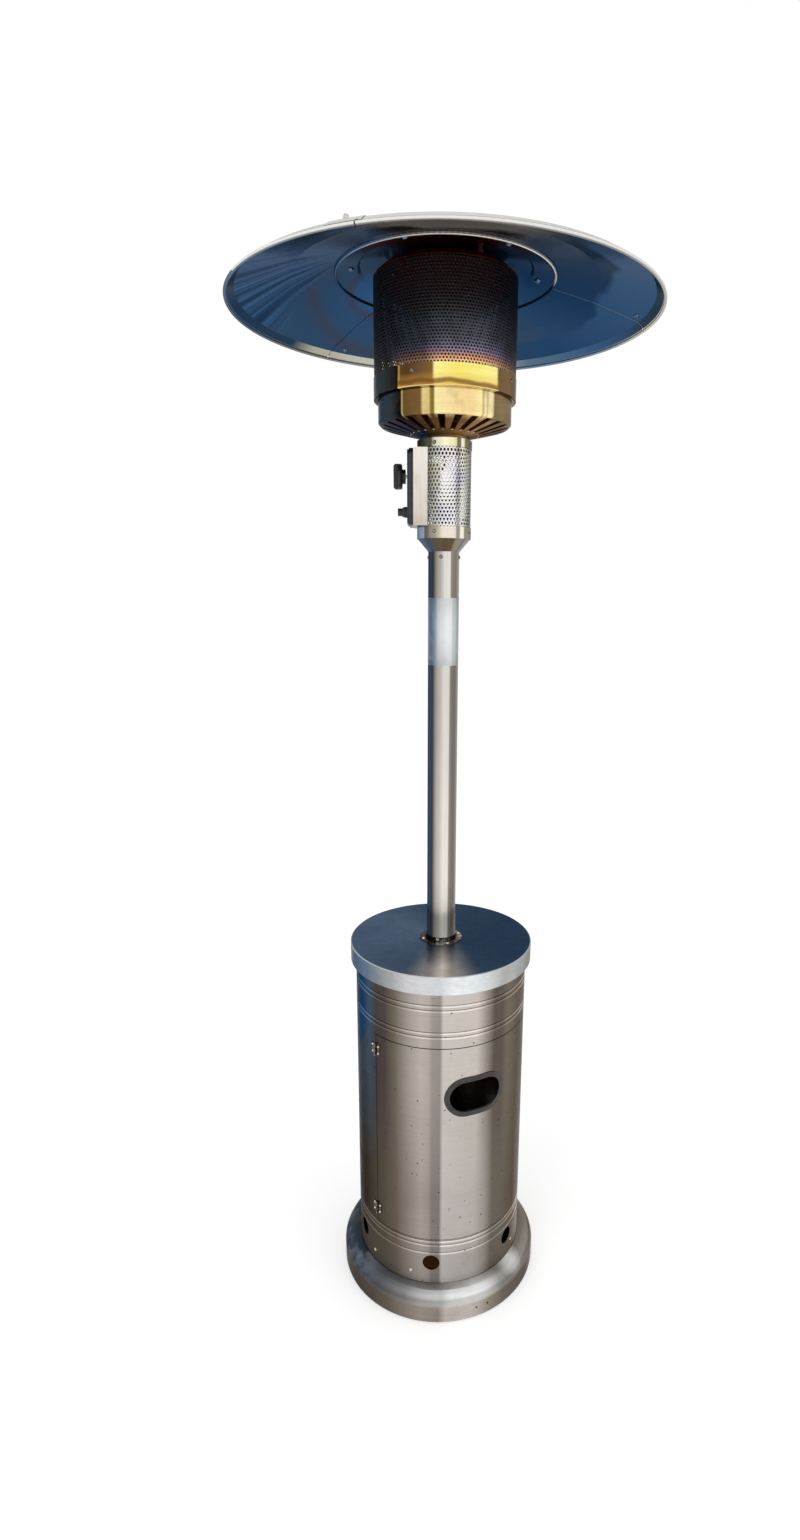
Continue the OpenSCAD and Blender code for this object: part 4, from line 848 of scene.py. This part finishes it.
# painted shade round the slots, and a painted highlight at each slot's inner end
from_slot = pan.math("ADD", pan.azimuth(), 360.0 - slot_first + slot_step / 2)
from_slot = pan.math("SUBTRACT", pan.math("MODULO", from_slot, float(slot_step)), slot_step / 2)
off_axis = pan.times(pan.math("ABSOLUTE", from_slot), pan.times(pan.radius(), math.radians(1)))
slot_half = pan.spread(pan.radius(), slot_in_r, slot_out_r, slot_in_half, slot_out_half)
edge = pan.times(pan.spread(pan.math("SUBTRACT", off_axis, slot_half), edge_wide, edge_full),
                 pan.math("COMPARE", pan.radius(), slot_middle_r, slot_half_long),
                 pan.math("LESS_THAN", pan.z, wall_low - slot_under))
tone = pan.blend(edge, tone, "3c1c14")
spot = pan.times(pan.math("LESS_THAN", off_axis, spot_half_wide),
                 pan.math("COMPARE", pan.radius(), spot_r, spot_half_long), 0.9)
tone = pan.blend(spot, tone, "cream")
tone = pan.brushed(tone, 300, (0.06, 0.06, 1), depth=0.07, bump=0.04)
tone = pan.blotches(tone, "cocoa", 26, 0.5, 0.72, share=0.4)
pan.soft(pan.spread(pan.z, wall_low - wall_turn, wall_low, under_metal, 1))
pan.done(tone, "burner_pan", rough=(0.16, 0.32))


# Burner band. A strip of polished stainless rolled round the pan's lip, gold from the heat, with
# a painted wavering reflection of the ground and a painted highlight on its lower lip.
lit_left, lit_right = -38, 44
amber_top, amber_full, amber_share = 1.956, 1.938, 0.55
brown_rise, brown_fall, brown_wander = (1.9355, 1.9385), (1.9430, 1.9470), 0.006
lip_high, lip_low = 1.9350, 1.9340
band = Finish("band_gold_steel", roughness=0.2)
# painted reflections over the gold
tone = band.bands([
    (-90, "304050"), (-60, "34403f"), (-48, "282c2e"), (-40, "1c1810"), (-38.5, "1c1810"),
    (-37.5, "c09850"), (-36, "5c4228"), (-30, "543a20"), (-20, "6c4e34"), (-9.5, "80602f"),
    (-8, "fff496"), (10, "ffec78"), (30, "fff48c"), (43, "fff098"), (45, "705c3c"), (60, "846a4c"),
    (90, "6c5c48"),
])
# on the lit side, a painted amber reflection low down
lit = band.between(band.side(), lit_left - 1, lit_left, lit_right, lit_right + 2)
low_amber = band.times(lit, band.spread(band.z, amber_top, amber_full, 0, amber_share))
tone = band.blend(low_amber, tone, "d89c44")
# the painted brown reflection above the painted highlight on the lip
wave = band.math("ADD", band.z, band.wander(14, brown_wander, (1, 1, 0.2), 1))
low_brown = band.times(lit, band.between(wave, *brown_rise, *brown_fall), 0.75)
tone = band.blend(low_brown, tone, "6c4420")
# a painted highlight on the lower lip
tone = band.blend(band.times(lit, band.spread(band.z, lip_high, lip_low)), tone, "flax")
tone = band.brushed(tone, 300, (0.06, 0.06, 1), depth=0.06, bump=0.03)
tone = band.blotches(tone, "bronze", 20, 0.55, 0.72, share=0.35)
band.done(tone, "burner_band", rough=(0.14, 0.26))


# Burner's inside. The deck, bowl, mixer tube and flame sensor are plain steel with a brown scale
# burnt on; the spark electrode is a wire in a glazed ceramic sleeve.
scale = Finish("burnt_scale_steel", metallic=0.6, roughness=0.5)
tone = scale.mottled("4c2418", "7c4028", 60, detail=6)
tone = scale.blotches(tone, "soot", 25, 0.5, 0.7, share=0.5)
scale.done(tone, "burner_deck", "burner_bowl", "mixer_tube", "thermocouple", rough=(0.4, 0.65))

glaze = Finish("glazed_ceramic", metallic=0.0, roughness=0.2)
glaze.done(glaze.mottled("d8d2c4", "efebe1", 200, 0.4, 0.7, detail=3), "spark_electrode",
           rough=(0.15, 0.3))


# Emitter. A rolled screen of fine perforated steel, burnt near black, that glows in use. Its
# foot keeps the purple and orange heat tints, here painted only where light falls, at the front and
# right, with a painted glow; the pressed cap on top is a dark red-brown.
screen_low, screen_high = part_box("emitter_screen")
screen_r, screen_columns, screen_rows = (screen_high[0] - screen_low[0]) / 2, 136, 37
tint_full, tint_end = 2.04, 2.10
foot_full, foot_end, foot_glow = 1.972, 2.000, 0.3
screen = perforated("emitter_mesh", screen_r, screen_low[2], screen_high[2],
                    screen_columns, screen_rows)
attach(screen, "root")
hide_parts("emitter_screen")
burnt = Finish("emitter_burnt_steel", metallic=0.7, roughness=0.42)
# painted reflections on the dark screen, a little lighter at the front
dark = burnt.bands([
    (-90, "1a1c20"), (-40, "1e2024"), (-12, "282a30"), (25, "2a2c30"), (50, "1e2024"),
    (90, "18181c"),
])
glow = burnt.ramp(burnt.z, [
    (1.970, "ffdca0"), (1.976, "ffc488"), (1.983, "d89880"), (1.992, "a490a8"), (2.003, "7c7a8a"),
    (2.018, "64666e"), (2.050, "54565c"), (2.085, "3c3e42"),
])
side = burnt.bands([
    (-90, 0.0), (-48, 0.02), (-38, 0.12), (-16, 0.25), (-4, 0.9), (30, 1), (42, 0.6), (55, 0.25),
    (90, 0.1),
])
# the heat tints show only at the front and right, as painted light
share = burnt.times(burnt.node("RGBToBW", side).outputs[0],
                    burnt.spread(burnt.z, tint_end, tint_full))
tone = burnt.blend(share, dark, glow)
tone = burnt.blotches(tone, "black", 30, 0.45, 0.7, share=0.3)
# a painted glow at the foot
foot_light = burnt.spread(burnt.z, foot_end, foot_full, 0, foot_glow)
burnt.put("Emission Color", glow)
burnt.put("Emission Strength", burnt.times(share, foot_light))
burnt.done(tone, rough=(0.35, 0.5))
burnt.dress(screen)

cap = Finish("cap_red_brown", roughness=0.45)
tone = cap.mottled("3c1812", "6c3020", 40, detail=6)
tone = cap.blotches(tone, "9c6048", 60, 0.55, 0.75, share=0.4)
cap.soft(0.35)
cap.done(tone, "emitter_cap", rough=(0.35, 0.55))


# Reflector. A flat-centred disc and three overlapping panels of mirror-bright stainless with a
# hemmed rim, bolted through at the seams. The underside is painted with the reflections of an
# evening sky.
skirt_z, bead_z, corner_r = 2.0995, 2.0900, 0.3865
hem_z, hem_r, hem_width = 2.1460, 0.2072, 0.0042
seam_az, seam_half, faces_up = 101.0, 0.22, 0.3
ring_in, ring_out, ring_wander = 0.305, 0.318, 0.02
near_az, middle_az, middle_r, middle_core = (-30, -18, 24, 34), (-62, -45, 42, 60), 0.198, 0.188
fan_x, fan_y, fan_rays, fan_detail = -0.138, -0.120, 7.5, 0.8
fan_turns, fan_start, fan_full = (-0.50, -0.36, 0.80, 1.00), 0.04, 0.12
swirl_x, swirl_y, swirl_squeeze, swirl_reach, swirl_core = -0.145, 0.100, 0.5, 0.20, 0.15
swirl_right, swirl_front = (-0.10, -0.15), (-0.02, 0.05)
rim_line_in, rim_line_out = 0.4054, 0.4061
rim_lit_az, rim_lit_half = 12.0, 72.0
hood = Finish("reflector_mirror_steel", roughness=0.12, edge=0.46)
# painted reflections on the underside, inside and outside a wavering ring
inner = hood.round_post([
    (-180, "2c3440"), (-150, "304860"), (-135, "34527a"), (-105, "36506e"), (-75, "3a546e"),
    (-58, "486486"), (-42, "364a64"), (-30, "4c6480"), (-20, "3a3c40"), (0, "38343a"),
    (20, "40383a"), (32, "5a6068"), (42, "344860"), (60, "1e3c5c"), (105, "224266"),
    (135, "304e72"), (150, "3a5068"), (165, "545860"), (180, "2c3440"),
])
outer = hood.round_post([
    (-180, "384c64"), (-140, "38526c"), (-105, "36546e"), (-75, "3a546e"), (-55, "40608a"),
    (-42, "283e58"), (-30, "2c3e52"), (-18, "343638"), (0, "242424"), (18, "343230"),
    (30, "2c4058"), (45, "44648a"), (75, "40648c"), (110, "36587e"), (140, "284a70"),
    (180, "384c64"),
])
reach = hood.math("ADD", hood.radius(), hood.wander(6, ring_wander))
below = hood.blend(hood.spread(reach, ring_in, ring_out), inner, outer)
# the near strip is painted with reflections of the browns of the ground and the burner
brown = hood.ramp(reach, [
    (0.20, "2c2226"), (0.245, "30262a"), (0.262, "8a8680"), (0.300, "7c786c"), (0.325, "5c564e"),
    (0.345, "2c2824"), (0.39, "2c2824"),
])
ahead = hood.between(hood.azimuth(), *near_az)
outside = hood.math("GREATER_THAN", hood.radius(), hem_r)
below = hood.blend(hood.times(ahead, outside), below, brown)
# painted reflections: streaks that fan out to the left rim from one point, and arcs round another
# beside the burner
to_x = hood.math("SUBTRACT", fan_x, hood.x)
to_y = hood.math("SUBTRACT", hood.y, fan_y)
ray = hood.math("ARCTAN2", to_y, to_x)
fan = hood.node("TexNoise", None, ray, fan_rays, fan_detail, noise_dimensions="1D")
streak = hood.ramp(fan.outputs[0], [
    (0.30, "20385a"), (0.42, "2a4668"), (0.50, "426894"), (0.57, "2a4464"), (0.68, "486c9c"),
])
left = hood.times(hood.between(ray, *fan_turns), hood.spread(to_x, fan_start, fan_full), 0.8)
below = hood.blend(left, below, streak)
swirl_dx = hood.math("SUBTRACT", hood.x, swirl_x)
swirl_dy = hood.times(hood.math("SUBTRACT", hood.y, swirl_y), swirl_squeeze)
away = hood.math("SQRT", hood.math("ADD", hood.math("POWER", swirl_dx, 2.0),
                                   hood.math("POWER", swirl_dy, 2.0)))
arcs = hood.ramp(away, [
    (0.00, "3c6496"), (0.030, "38608e"), (0.043, "484c5c"), (0.060, "38587e"), (0.095, "345474"),
    (0.115, "44485a"), (0.140, "345070"), (0.17, "345070"),
])
near_swirl = hood.times(hood.spread(away, swirl_reach, swirl_core),
                        hood.spread(hood.x, *swirl_right), hood.spread(hood.y, *swirl_front), 0.75)
below = hood.blend(near_swirl, below, arcs)
# the flat middle over the burner is painted with the reflection of the cap's dark red-brown
over_burner = hood.times(hood.between(hood.azimuth(), *middle_az),
                         hood.spread(hood.radius(), middle_r, middle_core))
cap_reflection = hood.mottled("2c1512", "4c2018", 9, 0.35, 0.65, detail=2)
below = hood.blend(over_burner, below, cap_reflection)
# painted reflections on the skirt and the bead
skirt = hood.round_post([
    (-180, "dcd8cc"), (-150, "d0ccc0"), (-132, "b8b4a4"), (-124, "2c4258"), (-90, "2c4460"),
    (-50, "4a5c70"), (-20, "8c8a84"), (40, "707478"), (60, "2c3c50"), (100, "34485c"),
    (125, "3c6088"), (150, "5c7690"), (180, "dcd8cc"),
])
bead = hood.round_post([
    (-180, "c8c4b8"), (-130, "8c8c88"), (-100, "5c7288"), (-60, "688094"), (-40, "848c8c"),
    (-20, "8c8a84"), (40, "98948c"), (75, "d8d4cc"), (100, "e4dcd0"), (120, "90a0b0"),
    (150, "7890a8"), (180, "c8c4b8"),
])
below = hood.blend(hood.math("LESS_THAN", hood.z, skirt_z), below, skirt)
# painted reflections on the top
above = hood.round_post([
    (-180, "dove"), (-140, "pearl"), (-100, "ash"), (-60, "mist"), (-20, "silver"), (20, "pearl"),
    (60, "ash"), (100, "dove"), (140, "silver"), (180, "dove"),
])
# painted reflections on the hem
hem = hood.round_post([
    (-180, "night"), (-125, "night"), (-95, "2c4a6c"), (-62, "5c80a4"), (-45, "8098b0"),
    (-24, "c0c0bc"), (-10, "dcd8d0"), (70, "e8e4dc"), (88, "dcd8d0"), (95, "1c2c40"),
    (180, "night"),
])
# a painted highlight along the seam
on_seam = hood.times(hood.math("COMPARE", hood.azimuth(), seam_az, seam_half), outside, 0.6)
below = hood.blend(on_seam, below, "mist")
tone = hood.blend(hood.math("LESS_THAN", hood.facing()[2], faces_up), above, below)
on_hem = hood.times(hood.math("LESS_THAN", hood.z, hem_z),
                    hood.math("COMPARE", hood.radius(), hem_r - hem_width / 2, hem_width / 2))
tone = hood.blend(on_hem, tone, hem)
# a painted highlight over the skirt's corner
over_skirt = hood.times(hood.math("GREATER_THAN", hood.facing()[2], faces_up),
                        hood.math("GREATER_THAN", hood.radius(), corner_r))
tone = hood.blend(over_skirt, tone, "white")
tone = hood.blend(hood.math("LESS_THAN", hood.z, bead_z), tone, bead)
# a painted highlight on the bead's outermost line, on the near side
caught = hood.times(hood.spread(hood.radius(), rim_line_in, rim_line_out),
                    hood.math("COMPARE", hood.azimuth(), rim_lit_az, rim_lit_half))
tone = hood.blend(caught, tone, "white")
hood.soft(hood.spread(caught, 0, 1, 0.5, 0.1))
hood.grained(5, bump=0.2, detail=1)
hood.done(tone, "reflector_disc", "reflector_panel_1", "reflector_panel_2", "reflector_panel_3",
          rough=(0.08, 0.16))
